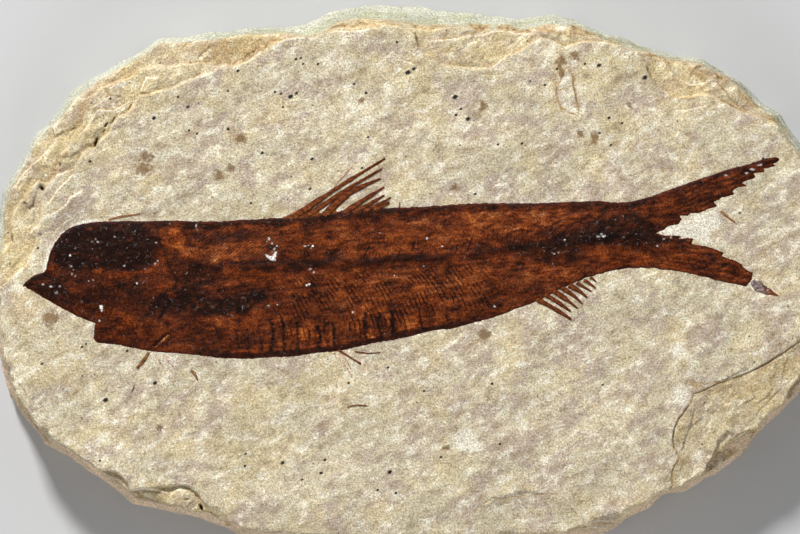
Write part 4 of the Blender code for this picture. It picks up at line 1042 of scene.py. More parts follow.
# Areas of the body: outline, softness in pixels, how much lighter or darker, how much more orange,
# and how far it stands up or lies low in mm.
AREAS = (
    # skull, nearly black
    (((52, 250), (58, 240), (70, 230), (88, 226), (120, 225), (148, 227), (158, 236), (157, 256),
      (150, 268), (128, 268), (112, 266), (100, 266), (84, 268), (66, 270), (54, 262)), 4, -0.62, -0.3,
      0.05),
    (((80, 224), (90, 223.5), (90.5, 228), (81, 229)), 1.2, 1.1, 0.3, 0.02),
    (((46, 260), (55, 256), (62, 268), (60, 276), (48, 274)), 3, 0.25, 0.35, 0.0),
    (((120, 240), (135, 236), (146, 246), (140, 258), (122, 256)), 5, -0.25, 0.0, 0.04),
    # cheek and snout
    (((30, 283), (60, 280), (66, 292), (52, 298), (34, 290)), 4, -0.35, -0.1, 0.03),
    (((93, 268), (104, 266.5), (105, 271), (95, 273)), 1.6, 0.45, 0.5, 0.03),
    (((111, 271), (128, 270), (128, 275), (113, 276)), 1.8, 0.35, 0.5, 0.03),
    (((128, 268), (164, 267), (164, 274), (130, 276)), 3, 0.10, 0.35, 0.02),
    (((76, 280), (120, 278), (150, 282), (160, 296), (140, 308), (100, 302), (80, 296)), 6, -0.15, -0.15,
      0.03),
    (((70, 300), (90, 305), (104, 309), (102, 316), (86, 316), (72, 308)), 2.5, 0.20, 0.5, 0.0),
    (((100, 311), (118, 312), (134, 318), (136, 328), (110, 326), (98, 320)), 4, 0.25, 0.55, 0.0),
    (((95, 326), (140, 328), (160, 336), (150, 349), (115, 344), (96, 341)), 4, 0.0, 0.3, -0.02),
    (((168, 292), (172, 290.5), (177, 294), (175, 298), (169, 298)), 1.2, 1.3, 1.0, 0.02),
    (((159, 229), (178, 228), (186, 236), (180, 248), (162, 247), (157, 238)), 3, 0.55, 0.4, 0.03),
    (((150, 244), (170, 248), (178, 262), (168, 276), (156, 268)), 4, -0.05, 0.35, 0.0),
    # gut, black
    (((150, 300), (172, 290), (205, 291), (234, 295), (262, 292), (276, 300), (262, 309), (232, 314),
      (205, 316), (178, 316), (150, 313)), 5, -0.66, -0.35, -0.02),
    (((176, 262), (200, 266), (214, 276), (206, 290), (184, 292), (172, 280)), 5, -0.38, -0.2, 0.0),
    # flank above the backbone
    (((186, 224), (262, 221), (300, 219), (350, 213), (350, 222), (300, 225), (250, 224), (190, 229)),
      2.5, -0.40, -0.2, 0.0),
    (((216, 226), (250, 223.5), (300, 224), (300, 231), (262, 230), (222, 233)), 2.5, 0.25, 0.35, 0.0),
    (((196, 234), (240, 233), (262, 235), (240, 241), (200, 242)), 3, -0.30, -0.1, 0.0),
    (((180, 246), (204, 242), (240, 240), (262, 243), (256, 254), (230, 261), (200, 263), (182, 258)), 4,
      0.55, 0.2, 0.03),
    (((290, 230), (340, 226), (352, 240), (330, 252), (296, 250)), 6, 0.12, 0.15, 0.0),
    (((345, 236), (420, 232), (470, 236), (460, 252), (400, 258), (350, 258)), 6, 0.18, 0.05, 0.0),
    (((408, 216), (440, 214), (444, 230), (412, 233)), 5, 0.28, 0.05, 0.0),
    (((350, 211), (440, 208), (445, 215), (352, 219)), 3, -0.22, -0.1, 0.0),
    (((460, 216), (500, 208), (560, 208), (566, 222), (530, 232), (470, 238)), 6, 0.42, 0.05, 0.0),
    (((480, 203), (600, 202), (600, 208), (480, 209)), 2.5, -0.15, -0.05, 0.0),
    # flank below the backbone
    (((214, 272), (300, 272), (330, 282), (300, 292), (262, 288), (226, 284)), 6, 0.05, 0.25, 0.0),
    (((330, 278), (400, 270), (470, 270), (486, 288), (450, 308), (400, 304), (360, 312), (326, 300)), 7,
      0.22, 0.05, 0.0),
    (((188, 318), (215, 315), (256, 317), (262, 328), (226, 330), (196, 326)), 3.5, 0.15, 0.4, 0.0),
    (((190, 330), (220, 334), (240, 346), (200, 350), (182, 340)), 5, -0.25, 0.0, 0.0),
    (((299, 324), (308, 324), (310, 338), (303, 342), (298, 334)), 2, 0.55, 0.4, 0.03),
    (((387, 305), (411, 303), (414, 313), (390, 316)), 4, -0.40, -0.2, 0.0),
    (((520, 262), (560, 262), (580, 268), (574, 280), (546, 284), (520, 276)), 5, 0.25, 0.2, 0.0),
    (((484, 300), (500, 300), (502, 308), (486, 309)), 2.5, -0.55, -0.3, 0.0),
    # narrow part before the tail, black and knotted
    (((545, 232), (575, 229), (605, 226), (618, 236), (600, 244), (570, 246), (548, 242)), 4, -0.60,
      -0.35, 0.04),
    (((505, 246), (545, 243), (580, 248), (584, 262), (552, 266), (512, 260)), 5, -0.45, -0.3, 0.0),
    (((598, 222), (625, 214), (650, 216), (662, 228), (656, 246), (630, 250), (602, 244)), 5, -0.50, -0.3,
      0.03),
    (((582, 247), (606, 247), (612, 256), (586, 260)), 4, 0.2, 0.2, 0.0),
    (((600, 259), (650, 256), (700, 268), (690, 273), (640, 267), (604, 268)), 3, 0.10, 0.3, 0.0),
    (((655, 235), (682, 236), (672, 243), (658, 242)), 1.5, -0.6, -0.3, 0.02),
    # tail lobes
    (((668, 206), (720, 190), (724, 198), (690, 212), (664, 224)), 4, -0.15, -0.1, 0.0),
    (((740, 166), (760, 160), (764, 168), (748, 178)), 3, -0.1, -0.1, 0.0),
    (((700, 182), (750, 164), (776, 159), (770, 164), (720, 182)), 3, 0.15, 0.2, 0.0),
)
# Lines on the body: line, half width in pixels, how much lighter or darker, lift in mm.
LINES = (
    (((70, 255), (77, 254), (85, 254)), 0.5, 1.6, 0.02),
    (((153, 346), (159, 340), (166, 335)), 1.3, -0.85, -0.05),
    (((155, 347), (161, 341), (168, 335.5)), 0.5, 2.2, 0.03),
    (((157, 228), (161, 245), (168, 262), (177, 280), (172, 298), (160, 318)), 2.0, -0.40, -0.03),
    (((24, 286.5), (45, 285), (60, 288), (75, 297), (96, 303)), 1.4, -0.40, -0.03),
    (((62, 300), (82, 306), (100, 313)), 1.0, -0.35, -0.02),
    (((112, 246), (132, 240), (150, 244)), 1.3, 0.35, 0.03),
    (((64, 262), (84, 258), (110, 262)), 1.2, 0.30, 0.02),
    (((170, 318), (186, 312), (205, 318), (214, 330)), 1.5, 0.20, 0.02),
    (((178, 330), (196, 322), (214, 326), (222, 338)), 1.8, -0.35, -0.02),
    (((367.8, 338.6), (375, 337.8)), 0.7, 3.0, 0.02),
    (((655, 233.5), (640, 236), (600, 240)), 1.5, -0.3, 0.0),
    (((330, 258), (365, 262), (420, 258), (450, 262)), 3.0, -0.3, 0.03),
    (((508, 233), (520, 230), (540, 231), (560, 228)), 1.0, -0.45, -0.02),
    (((552, 225), (562, 220), (574, 219)), 0.9, -0.5, -0.02),
    (((566, 227), (580, 221), (590, 214)), 0.9, -0.5, -0.02),
    (((588, 228), (596, 220), (604, 213)), 0.9, -0.5, -0.02),
    (((236, 263), (262, 262), (290, 262), (330, 262)), 3.2, -0.35, 0.02),
)
# Dark bars of the belly: their x, top, foot and strength.
BELLY_BARS = (
    (213, 332, 346, 0.3), (225, 328, 346, 0.2), (237, 330, 349, 0.5), (248.5, 328, 350, 0.35),
    (260.7, 325, 350, 0.5), (272, 320, 351, 0.9), (284, 319, 351, 1.0), (297.4, 322, 350, 0.8),
    (310, 331, 341, 0.3), (319, 326, 348, 0.8), (326, 328, 346, 0.5), (334, 324, 346, 0.6),
    (343, 326, 340, 0.3), (353, 322, 342, 0.4), (366.7, 314, 339, 0.8), (380, 314, 337, 0.95),
    (392.8, 312, 335, 0.9), (405.5, 314, 332, 0.4), (421.8, 309, 329, 0.8), (433, 308, 326, 0.5),
    (447, 303, 322, 0.45), (459, 304, 316, 0.2),
)


# Bone colour from black gloss through red brown to tan, plain and where it glows orange.
TONES = (0.0, 0.4, 0.8, 1.2, 1.7, 2.4)
PLAIN_BONE = np.array([(0.0030, 0.0014, 0.0010), (0.018, 0.0047, 0.0019), (0.072, 0.0145, 0.0035),
                       (0.150, 0.0345, 0.0080), (0.270, 0.088, 0.027), (0.46, 0.23, 0.10)])
WARM_BONE = np.array([(0.004, 0.0014, 0.0006), (0.028, 0.0052, 0.0012), (0.102, 0.0180, 0.0026),
                      (0.200, 0.0410, 0.0055), (0.33, 0.095, 0.018), (0.50, 0.21, 0.08)])
EDGE_RED = np.array([0.050, 0.0045, 0.0015])


class Skin:
    """Tone, warmth and height of the bone at pixels p, which are rim mm inside its edge."""

    def __init__(self, p, rim):
        self.p, self.rim = p, rim
        self.x, y = p.T
        self.over_belly = lines_at(BELLY_LINE, self.x) - y
        self.under_back = y - lines_at(BACK_LINE, self.x)
        self.over_spine = lines_at(SPINE_LINE, self.x) - y
        flank = ease(330, 400, self.x) * ease(620, 540, self.x)
        self.tone = 0.85 + 0.07 * flank - 0.20 * ease(170, 120, self.x) - 0.28 * ease(11, 2, self.under_back)
        self.warmth = 0.22 + 0.35 * rough(p, 16, 101, 4)
        self.height = FILM * (1 - np.exp(-((rim / 0.16) ** 1.5))) + 0.10 * ease(0, 3.2, rim)
        # How thickly the painted highlights are strewn.
        self.glint = np.full(len(p), 0.34)
        self.sway = rough(p, 9, 91, 3)
        self.lines = np.zeros((len(p), 4))

    def change(self, share, tone=0.0, warmth=0.0, lift=0.0, where=slice(None)):
        self.tone[where] *= np.maximum(1 + share * tone, 0.03)
        self.warmth[where] += share * warmth
        self.height[where] += share * lift

    def colour(self):
        tone, warm = np.clip(self.tone, 0.0, 2.4), np.clip(self.warmth, 0, 1)[:, None]
        plain, glow = (np.column_stack([np.interp(tone, TONES, ramp[:, k]) for k in range(3)])
                       for ramp in (PLAIN_BONE, WARM_BONE))
        colour = plain + (glow - plain) * warm
        seam = np.exp(-((self.rim / PIXEL / 1.25) ** 2))[:, None]
        return colour + (EDGE_RED - colour) * seam


def waves(values, pitch):
    """Ridges a pitch apart, from 0 to 1."""
    return 0.5 + 0.5 * np.cos(2 * math.pi * values / pitch)


def mark_grain(skin):
    """Fibres along the body behind the head, clots of varnish and fine grit everywhere."""
    p, body = skin.p, ease(160, 200, skin.x)
    fibres = body * rough(p, 2.6, 111, 4, (4.5, 1, 1), math.radians(-6))
    clots = rough(p, 6.5, 121, 4, (1.5, 1, 1), math.radians(-12))
    grit, dust = rough(p, 1.9, 131, 2), scatter(np.column_stack([np.round(p * 1.1), 0 * skin.x]), 5) - 0.5
    skin.tone += 0.26 * fibres + 0.24 * clots + 0.15 * grit + 0.18 * dust
    skin.height += 0.018 * fibres + 0.026 * clots + 0.012 * grit


def mark_areas(skin):
    wander = np.column_stack([rough(skin.p, 22, 81, 3), rough(skin.p, 15, 95, 3)])
    patchy = rough(skin.p, 4.5, 97, 4)
    for outline, soft, tone, warmth, lift in AREAS:
        k = near(skin.p, outline, soft * 2 + 6)
        share = patch(skin.p[k] + wander[k] * 4, outline, soft)
        share = np.clip(share * (0.92 + 0.45 * patchy[k]), 0, 1.15)
        skin.change(share, tone, warmth, lift, k)
        # Painted highlights strewn more thickly over the darkest areas.
        skin.glint[k] += share * (tone < -0.3) * 0.75
    for line, width, tone, lift in LINES:
        k = near(skin.p, line, width * 3 + 3)
        skin.change(stroke(skin.p[k] + wander[k] * 0.8, line, width), tone, 0, lift, k)


def mark_backbone(skin):
    """A dark knotted cord with paler fibres crossing it."""
    bend = 2 * rough(skin.p, 22, 81, 3)
    cord = np.exp(-(((skin.over_spine + bend) / 4.6) ** 2)) * ease(165, 200, skin.x) * ease(662, 640, skin.x)
    skin.change(cord * (0.30 + 0.35 * np.clip(skin.sway + 0.2, -0.5, 1)), tone=-1)
    skin.height += cord * (0.05 + 0.04 * waves(skin.x, 10.4))


def mark_belly(skin):
    """Upright dark bars of uneven length and weight, orange bone between them, and a black hem."""
    x, up = skin.x, skin.over_belly
    glow = ease(205, 262, x) * ease(478, 440, x) * ease(3, 7, up) * ease(36, 22, up)
    patchy = ease(-0.5, 0.4, rough(skin.p, 5, 109, 3, (1, 2.2, 1)))
    skin.change(glow * (0.35 * patchy - 0.08), tone=1, warmth=1.5)
    wander = 2.2 * rough(skin.p, 5, 113, 3)
    for column, top, foot, strength in BELLY_BARS:
        line = ((column - 1.5, top), (column, (top + foot) / 2), (column + 0.6, foot))
        k = near(skin.p, line, 6)
        share = stroke(skin.p[k] + np.column_stack([wander[k], 0 * k]), line, 0.9 + 0.8 * strength)
        skin.change(share * strength, tone=-0.85, warmth=-0.6, lift=-0.05, where=k)
    hem = ease(8, 4, up) * ease(175, 215, x) * ease(520, 450, x)
    skin.change(hem, tone=-0.50, warmth=-0.3)


def line_ribs(skin):
    """Fine lines that leave the backbone aslant and steepen towards the belly: their phase and share."""
    x, below = skin.x, -skin.over_spine
    phase = (x - 0.95 * below + 0.0052 * below**2 + 1.0 * skin.sway) / 4.6
    gate = ease(-0.50, 0.10, rough(skin.p, 9, 103, 3))
    zone = ease(8, 15, below) * ease(8, 20, skin.over_belly) * ease(255, 300, x) * ease(520, 470, x)
    shoulder = ease(180, 196, x) * ease(290, 262, x)
    shoulder *= ease(2, 8, skin.over_spine) * ease(4, 9, skin.under_back)
    climbing = (x + 1.4 * skin.p[:, 1] + 1.4 * skin.sway) / 4.2
    skin.lines[:, 0] = np.where(below > 0, phase, climbing)
    skin.lines[:, 1] = np.where(below > 0, zone * gate, 0.6 * shoulder)


def line_spines(skin):
    """Thin spines above the backbone that lean back at their tops: their phase and share."""
    x, over = skin.x, skin.over_spine
    slope = 0.45 + 0.5 * ease(520, 570, x)
    phase = (x - slope * over + 1.2 * skin.sway) / (11.5 - 2.0 * ease(470, 560, x))
    gate = ease(-0.45, 0.0, rough(skin.p, 8, 105, 2))
    zone = ease(0, 3, over) * ease(24, 14, over) * ease(335, 365, x) * ease(655, 630, x)
    skin.lines[:, 2], skin.lines[:, 3] = phase, zone * gate


def mark_tail(skin):
    """Rays that run out along both lobes."""
    x, y = skin.p.T
    fan = np.where(y < 233.5, np.arctan2(238 - y, np.maximum(x - 590, 1)),
                   np.arctan2(y - 240, np.maximum(x - 560, 1)))
    rays = waves(fan + 0.012 * skin.sway, 0.042)
    skin.change(ease(650, 690, x) * (0.40 * rays - 0.24), tone=1, lift=0.06)


def bone_fields(p, rim):
    """Height above the face of the bone at pixels p, and its paint: colour, painted highlights and lines."""
    skin = Skin(p, rim)
    for mark in (mark_grain, mark_areas, mark_backbone, mark_belly, line_ribs, line_spines, mark_tail):
        mark(skin)
    colour = chips_and_glints_colour(p, skin.colour())
    return skin.height, np.column_stack([colour, skin.glint * ease(0.1, 0.3, rim), skin.lines])


# Pale chips where stone or bone shows, and painted highlights where the varnish glints: middle, reach in
# pixels and strength.
PALE_CHIPS_AND_GLINTS = (
    ((101.2, 307.0), (2.0, 2.6), 1.0), ((101.8, 310.5), (1.0, 1.6), 0.9), ((99.6, 320.7), (0.9, 1.2), 0.8),
    ((269, 238.5), (1.6, 1.8), 0.55), ((267, 242), (0.9, 0.9), 0.5), ((272, 243.5), (1.2, 1.5), 0.5),
    ((270, 247), (0.8, 1.0), 0.6), ((274.5, 248.5), (1.4, 1.8), 0.5), ((277, 246), (0.7, 0.8), 0.5),
    ((272, 251.5), (1.0, 0.8), 0.6), ((276, 252.5), (1.6, 1.0), 0.55), ((305, 246.4), (1.0, 0.8), 0.8),
    ((308.6, 245.6), (0.8, 0.7), 0.6), ((312.8, 245.8), (1.6, 1.0), 1.0), ((311, 248), (0.8, 0.7), 0.6),
    ((306.5, 285.2), (1.6, 0.8), 0.9), ((309.5, 284.2), (1.8, 0.8), 1.0), ((310, 269.5), (1.8, 0.9), 0.5),
    ((314, 272.2), (1.2, 0.8), 0.5), ((281.5, 289), (0.8, 0.8), 0.7), ((268.5, 305.6), (0.8, 0.8), 0.6),
    ((277.4, 304.2), (0.8, 0.8), 0.6), ((353, 312), (1.2, 1.0), 0.9), ((394, 275.6), (1.2, 1.0), 1.0),
    ((427, 238), (1.1, 1.1), 0.8), ((442.6, 246.2), (1.0, 1.0), 0.9), ((379.6, 233), (1.0, 1.2), 0.5),
    ((379.0, 236.6), (1.2, 1.0), 0.6), ((423.5, 266.3), (1.1, 0.8), 0.6), ((384.6, 333.4), (0.9, 0.8), 0.7),
    ((564.8, 239.6), (1.1, 1.0), 0.9), ((494.6, 306.4), (1.0, 0.8), 0.8), ((598, 236.6), (2.2, 0.9), 0.5),
    ((603.5, 236.0), (2.6, 1.0), 0.6), ((601, 234.2), (1.2, 0.8), 0.5), ((554, 253.4), (1.8, 0.8), 0.5),
    ((558.6, 252.4), (1.8, 0.8), 0.5), ((51.2, 286.5), (1.5, 1.2), 0.9), ((54.5, 289), (0.8, 0.8), 0.6),
    ((56, 293), (1.2, 1.2), 0.7), ((43, 284.5), (1.2, 1.0), 0.5), ((60, 286), (1.0, 0.8), 0.5),
    ((71.5, 266.6), (1.4, 1.2), 0.7), ((73.5, 269.5), (1.0, 0.9), 0.5), ((72, 274), (1.2, 1.6), 0.4),
    ((75.5, 276), (1.0, 1.2), 0.4), ((70.3, 255.4), (1.0, 1.0), 0.8), ((88.8, 281), (1.1, 0.8), 0.8),
    ((93, 280), (1.0, 0.7), 0.5), ((76, 284.4), (1.4, 0.8), 0.5), ((137, 283.3), (0.8, 0.8), 0.7),
    ((95.5, 239), (1.2, 0.8), 0.45), ((98, 242), (1.0, 0.8), 0.45), ((115, 237), (1.2, 0.8), 0.4),
    ((124.5, 266), (1.0, 1.0), 0.5), ((155.6, 263.6), (1.3, 1.0), 0.55), ((158, 261), (0.9, 1.2), 0.4),
    ((156.5, 242.5), (1.2, 0.8), 0.45), ((170, 224), (1.4, 0.8), 0.4), ((196.2, 226), (0.9, 1.6), 0.55),
    ((197.4, 229.6), (0.8, 1.4), 0.5), ((747, 173), (2.4, 1.2), 0.55), ((753, 169.4), (2.8, 1.2), 0.55),
    ((760, 165), (2.2, 1.0), 0.5), ((726, 175.4), (2.0, 0.9), 0.35), ((664, 239), (1.8, 1.0), 0.45),
    ((671, 237.5), (1.6, 0.8), 0.4), ((657, 246), (2.0, 0.7), 0.4),
)
BIG_CHIP = ((265.4, 254.4), (268.5, 255.2), (270.6, 256.6), (272.4, 256), (275.6, 252.4), (276.2, 256.2),
            (274.8, 258.4), (276.2, 260.2), (272.6, 260.8), (269.4, 259.2), (267, 257))
CHIP_SIZE = 0.85
CHIP_AND_GLINT_WHITE = np.array([0.82, 0.79, 0.74])


def chips_and_glints_colour(p, colour):
    """Small chips where the varnish has flaked and pale stone or bone shows, and painted highlights of the
    varnish's glints.
    """
    for centre, (wide, tall), strength in PALE_CHIPS_AND_GLINTS:
        k = np.flatnonzero((np.abs(p - centre) < 8).all(axis=1))
        away = np.hypot(*((p[k] - centre) / (wide, tall)).T / CHIP_SIZE) + 0.45 * rough(p[k], 1.6, 141, 2)
        share = strength * ease(1.15, 0.6, away)
        colour[k] += (CHIP_AND_GLINT_WHITE - colour[k]) * share[:, None]
    k = near(p, BIG_CHIP, 2)
    colour[k] += (CHIP_AND_GLINT_WHITE - colour[k]) * patch(p[k], BIG_CHIP, 0.5)[:, None]
    return colour


def closed_relief(outline, spacing, fields):
    """A low relief over an outline in mm: top of varying height, side down into the stone, flat back."""
    x, y = hexagons(outline.min(axis=0), outline.max(axis=0), spacing)
    inner = np.column_stack([x.ravel(), y.ravel()])
    flat, faces, reach = filled(outline, inner[inside(inner, outline)], spacing * 0.55)
    height, colour = fields(pixels(flat), reach)
    count = len(flat)
    runs = {(a, b) for face in faces.tolist() for a, b in zip(face, face[1:] + face[:1])}
    border = [(a, b) for a, b in runs if (b, a) not in runs]
    rim = sorted({k for edge in border for k in edge})
    place = {k: i for i, k in enumerate(rim)}
    points = np.column_stack([flat, FACE + height + ground(flat)])
    below = np.column_stack([flat[rim], np.full(len(rim), FISH_UNDER)])
    sides = [(b, a, count + place[a], count + place[b]) for a, b in border]
    back = count + cap(flat[rim], [(place[a], place[b]) for a, b in border], outline)[:, ::-1]
    faces = [*faces.tolist(), *sides, *back.tolist()]
    return np.concatenate([points, below]), faces, np.concatenate([colour, colour[rim]])


RAY_BROWN = np.array([0.140, 0.040, 0.010])
RAY_DARK = np.array([0.060, 0.006, 0.001])
ASH = np.array([0.16, 0.12, 0.11])
UNLINED = (0, 0, 0, 0, 0)  # no glints, and no phase or share of ribs and of spines
# A ray's cross-section: places from edge to edge, and how much of its lift each has.
RAY_ACROSS = np.array([-1.0, -0.82, -0.4, 0.0, 0.4, 0.82, 1.0])
RAY_DOME = np.array([0.0, 0.75, 0.95, 1.0, 0.95, 0.75, 0.0])
RAY_FOOT = -0.08  # height of its edges over the face
RAY_STEP = 1.2  # pixels between its cross-sections

# Fin rays: root, bend and tip, and widths at the three, all in pixels.
DORSAL_RAYS = (
    ((290, 220), (338, 187.4), (385.3, 158.4), (6.5, 4.6, 2.0)),
    ((305, 217.5), (344, 191.2), (382, 168.7), (6.0, 4.6, 1.8)),
    ((324, 216.5), (347, 194.5), (380.6, 178.5), (9.0, 7.0, 2.0)),
    ((342, 214), (364, 199.8), (384.3, 187), (6.5, 5.4, 1.8)),
    ((353, 212.5), (371, 203), (384.3, 195.3), (5.0, 4.2, 1.8)),
    ((364, 211), (379, 204), (391, 197.5), (5.0, 3.6, 1.6)),
    ((374, 210), (383, 206), (389.5, 202.3), (5.5, 4.0, 2.4)),
)
DORSAL_WEB = (
    (272, 221), (278, 219), (284, 217), (293, 212.6), (303, 207), (311, 202), (316, 200.5), (320, 200.5),
    (316, 205), (311, 210), (308, 213.5), (313, 212.5), (318, 210), (322, 208), (319, 212), (322, 213.5),
    (326, 210), (331, 205.5), (335, 205), (336, 209), (337, 212), (341, 213), (338, 216), (300, 219),
)
ANAL_RAYS = (
    ((536, 298.5), (556, 309.5), (571.3, 319.4), (6.0, 5.0, 2.2)),
    ((545, 294.5), (559, 303), (570.5, 311.3), (6.5, 4.6, 1.8)),
    ((554, 291), (567, 300), (577.4, 308.2), (6.5, 4.4, 1.8)),
    ((562, 287.5), (574, 296), (582.5, 304), (6.0, 4.0, 1.6)),
    ((569, 285), (580, 291.5), (587, 297.5), (5.5, 3.8, 1.8)),
    ((577, 282.5), (584, 287), (591.3, 291.3), (4.5, 3.0, 1.6)),
    ((584, 280), (589, 283), (595.5, 288.4), (4.2, 2.8, 1.4)),
    ((590, 277.5), (593, 278.8), (596, 281.8), (3.5, 2.2, 1.2)),
)
# Single rays beside the belly and the back, and how much paler than the fins' they are.
BROWN, RUSSET, WHITISH = (1.0, 1.0, 1.0), (1.3, 1.8, 2.0), (5.0, 14, 36)
SMALL_RAYS = (
    (((149, 352), (144, 360), (137, 368.5), (2.4, 3.4, 2.8)), (1.5, 2.6, 3.6)),
    (((336, 349), (348, 356), (361, 364), (2.4, 2.2, 2.2)), RUSSET),
    (((340, 350), (351, 357.5), (359, 362.5), (1.2, 1.2, 1.0)), RUSSET),
    (((355, 351.5), (367, 353.2), (380.5, 352.4), (1.5, 1.4, 1.0)), (1.0, 1.2, 1.2)),
    (((399.5, 208), (399.8, 205), (399.5, 202), (1.6, 1.2, 0.8)), BROWN),
    (((334, 186), (345, 174), (353, 166), (1.2, 1.2, 0.8)), WHITISH),
    (((333, 352), (344, 364), (352, 377), (1.4, 1.4, 1.0)), WHITISH),
    (((338, 352), (347, 361), (351, 370), (1.2, 1.2, 1.0)), WHITISH),
    (((155, 354), (158, 359), (163, 367), (1.4, 1.4, 1.0)), WHITISH),
    (((163, 354), (167, 360), (173, 366), (1.2, 1.2, 1.0)), WHITISH),
)
FIN_LIFT, FIN_SEED = 0.16, 200
SMALL_LIFT, SMALL_SEED = 0.09, 240
SLIVER_LIFT, SLIVER_SEED = 0.10, 300


def ray_mesh(ray, lift, seed):
    """One fin ray: a thin domed strip that follows its root, bend and tip."""
    root, bend, tip, widths = ray
    line = at(smooth_line([root, bend, tip], RAY_STEP))
    count, wide = len(line), len(RAY_ACROSS)
    t = np.linspace(0, 1, count)
    run = np.gradient(line, axis=0)
    run /= np.linalg.norm(run, axis=1)[:, None]
    side = np.column_stack([-run[:, 1], run[:, 0]])
    wobble = 1 + 0.18 * rough(np.column_stack([t * count / 5, np.full(count, seed)]), 1, seed, 2)
    half = np.interp(t, [0, 0.5, 1], widths) * PIXEL / 2 * wobble
    knots = 1 - 0.25 * (0.5 + 0.5 * np.cos(1.4 * np.arange(count)))
    rise = lift * (1 - 0.4 * t)[:, None] * RAY_DOME * np.where(RAY_DOME > 0.9, knots[:, None], 1)
    rise[:, RAY_DOME == 0] = RAY_FOOT
    spots = line[:, None] + side[:, None] * (half[:, None] * RAY_ACROSS)[..., None]
    points = np.dstack([spots, rise + FACE + ground(line)[:, None]]).reshape(-1, 3)

    shade = RAY_BROWN + (RAY_DARK - RAY_BROWN) * 0.6 * t[:, None]
    shade = np.where(np.abs(RAY_ACROSS)[:, None] > 0.7, RAY_DARK, shade[:, None])
    flecks = 1 + 0.30 * np.sin(1.1 * np.arange(count)[:, None] + seed + 2 * RAY_ACROSS)
    colour = (shade * flecks[..., None]).reshape(-1, 3)

    faces = []
    last = (count - 1) * wide
    for k in range(0, last, wide):
        faces += [(a, a + 1, a + wide + 1, a + wide) for a in range(k, k + wide - 1)]
        faces.append((k, k + wide, k + 2 * wide - 1, k + wide - 1))
    faces += [tuple(range(wide - 1, -1, -1)), tuple(range(last, last + wide))]
    return points, faces, unlined(colour)


def unlined(colour):
    """Paint of plain bone: colour with no glints and no lines."""
    return np.column_stack([colour, np.tile(UNLINED, (len(colour), 1))])


def paint_bone(piece, paints):
    paint(piece, "bone_colour", paints[:, :4])
    paint(piece, "bone_lines", paints[:, 4:])


def joined(parts):
    points, faces, colours = zip(*parts)
    starts = np.cumsum([0, *map(len, points)])
    faces = [[k + start for k in face] for start, group in zip(starts, faces) for face in group]
    return np.concatenate(points), faces, np.concatenate(colours)


def web_fields(p, rim):
    """Height and paint of the skin between the rays of the dorsal fin."""
    blades = rough(p, 2.4, 251, 3, (4, 1, 1), math.radians(-33))
    colour = RAY_BROWN * (1.10 + 0.50 * blades)[:, None]
    return 0.10 * ease(0, 0.2, rim) + 0.02 * blades, unlined(colour)


def fish_piece(material):
    spacing = FISH_SPACING * 1
    parts = [closed_relief(at(fish_outline()), spacing, bone_fields),
             closed_relief(at(ring(DORSAL_WEB, RAY_STEP)), spacing, web_fields)]
    parts += [ray_mesh(ray, FIN_LIFT, FIN_SEED + k) for k, ray in enumerate(DORSAL_RAYS + ANAL_RAYS)]
    for k, (ray, paler) in enumerate(SMALL_RAYS):
        points, faces, colour = ray_mesh(ray, SMALL_LIFT, SMALL_SEED + k)
        parts.append((points, faces, colour * (*paler, *UNLINED)))
    points, faces, colour = joined(parts)
    points[:, 2] = np.minimum(points[:, 2], HIGHEST)
    piece = show("fish_bones", points, faces, material)
    paint_bone(piece, colour)
    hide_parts("fossil_fish")


TIP_OUTLINE = (
    (751.5, 281), (754, 279.5), (757, 281.5), (761, 281), (764, 285), (769, 287.5), (774, 292),
    (779.5, 296.3), (773, 295.5), (766, 294.8), (760, 292.5), (755, 291.2), (752.5, 287.5), (750, 285),
)
# Loose slivers, written as the small rays are.
SLIVERS = (
    (((108.5, 219.5), (122, 216.5), (140, 214.2), (1.6, 2.6, 1.0)), (2.0, 3.6, 5.5)),
    (((720.7, 211), (727, 216.5), (735.3, 222.6), (2.4, 2.6, 1.6)), (2.2, 4.2, 6)),
    (((347.3, 406.8), (357, 405.2), (367.6, 406), (1.6, 1.8, 1.0)), (1.4, 2.6, 4)),
    (((190.5, 370), (194.5, 374), (198, 380.5), (1.8, 3.6, 1.6)), (2.0, 4.4, 7)),
    (((131.7, 391.7), (133.2, 388.5), (134.3, 385.6), (1.2, 1.6, 1.0)), (1.6, 2.8, 4)),
)


def tail_tip_piece(material):
    def fields(p, rim):
        height, _ = bone_fields(p, rim)
        fleck = rough(p, 2.2, 151, 3)
        grey = ease(773, 762, p[:, 0] + 4 * rough(p, 3, 161, 2))
        colour = RAY_BROWN * (1 + 0.5 * fleck[:, None])
        ash = ASH * (1 + 0.9 * np.clip(fleck, -0.7, 1)[:, None])
        colour = colour + (ash - colour) * grey[:, None]
        return height * 0.9 + 0.03 * fleck, unlined(np.clip(colour, 0.01, 1))

    points, faces, colour = closed_relief(at(ring(TIP_OUTLINE, 1.0)), FISH_SPACING * 0.8, fields)
    piece = show("tail_tip_bone", points, faces, material)
    paint_bone(piece, colour)
    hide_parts("tail_tip")


def sliver_pieces(material):
    for k, (line, paler) in enumerate(SLIVERS):
        points, faces, colour = ray_mesh(line, SLIVER_LIFT, SLIVER_SEED + k)
        piece = show(f"sliver_{k + 1}", points, faces, material)
        paint_bone(piece, colour * (*paler, *UNLINED))
        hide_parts(f"bone_sliver_{k + 1}")


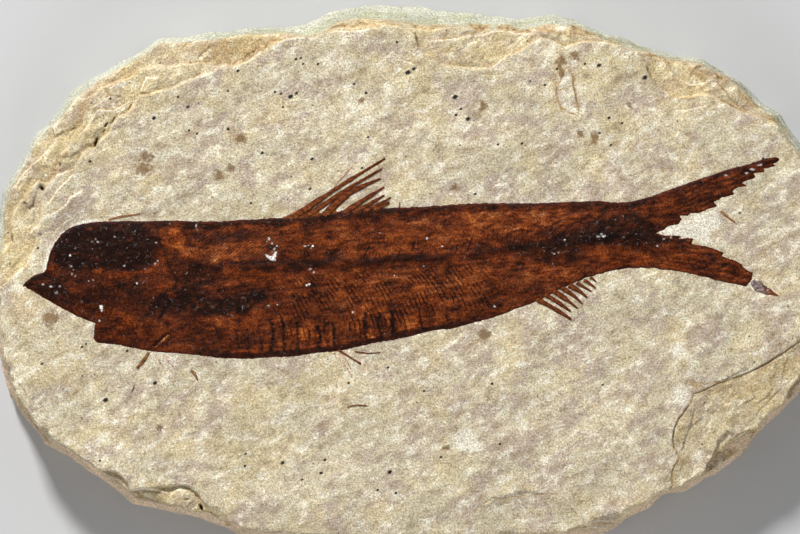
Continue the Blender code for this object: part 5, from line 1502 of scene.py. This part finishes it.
# ---------------------------------------------------------------- stage

CAMERA_LENS = 250.0
CAMERA_SENSOR = 36.0
FLOOR_HALF = 0.8
FLOOR_GAP = 0.00005
SKY_COLOUR, SKY_STRENGTH = (0.95, 0.97, 1.0, 1), 0.12
# Lamps, each aimed at the origin: place in metres, watts and width.
LAMPS = {
    "key": ((-0.24, 0.62, 0.43), 9.4, 0.10),
    "fill_left": ((-0.75, -0.10, 0.55), 1.1, 0.5),
    "fill_right": ((0.70, 0.10, 0.55), 1.1, 0.5),
    "fill_front": ((0.02, -0.85, 0.32), 4.2, 0.5),
}


def stage_floor():
    mesh = bpy.data.meshes.new("floor")
    corners = [(x * FLOOR_HALF, y * FLOOR_HALF, 0) for x, y in ((-1, -1), (1, -1), (1, 1), (-1, 1))]
    mesh.from_pydata(corners, [], [(0, 1, 2, 3)])
    mesh.materials.append(floor_material())
    floor = placed("floor", mesh)
    floor.location.z = CAD_BOX[0][2] - FLOOR_GAP


def stage():
    stage_floor()
    world = bpy.data.worlds.new("studio")
    bpy.context.scene.world = world
    world.use_nodes = True
    sky = world.node_tree.nodes["Background"].inputs
    sky["Color"].default_value = SKY_COLOUR
    sky["Strength"].default_value = SKY_STRENGTH

    for name, (place, power, width) in LAMPS.items():
        lamp = bpy.data.lights.new(name, "AREA")
        lamp.energy = power
        lamp.size = width
        made = placed(name, lamp)
        made.location = place
        made.rotation_euler = (-Vector(place)).to_track_quat("-Z", "Y").to_euler()

    lens = bpy.data.cameras.new("camera")
    lens.lens = CAMERA_LENS
    lens.sensor_width = CAMERA_SENSOR
    lens.clip_end = 10
    camera = placed("camera", lens)
    away = PICTURE_WIDTH * PIXEL * CAMERA_LENS / CAMERA_SENSOR
    camera.location = (*at(VIEW_CENTRE) * MM, (FACE + away) * MM)
    bpy.context.scene.camera = camera
    bpy.context.scene.view_settings.view_transform = "Standard"


def main():
    stage()
    limestone_piece()
    bone = fish_material()
    fish_piece(bone)
    tail_tip_piece(bone)
    sliver_pieces(bone)


main()
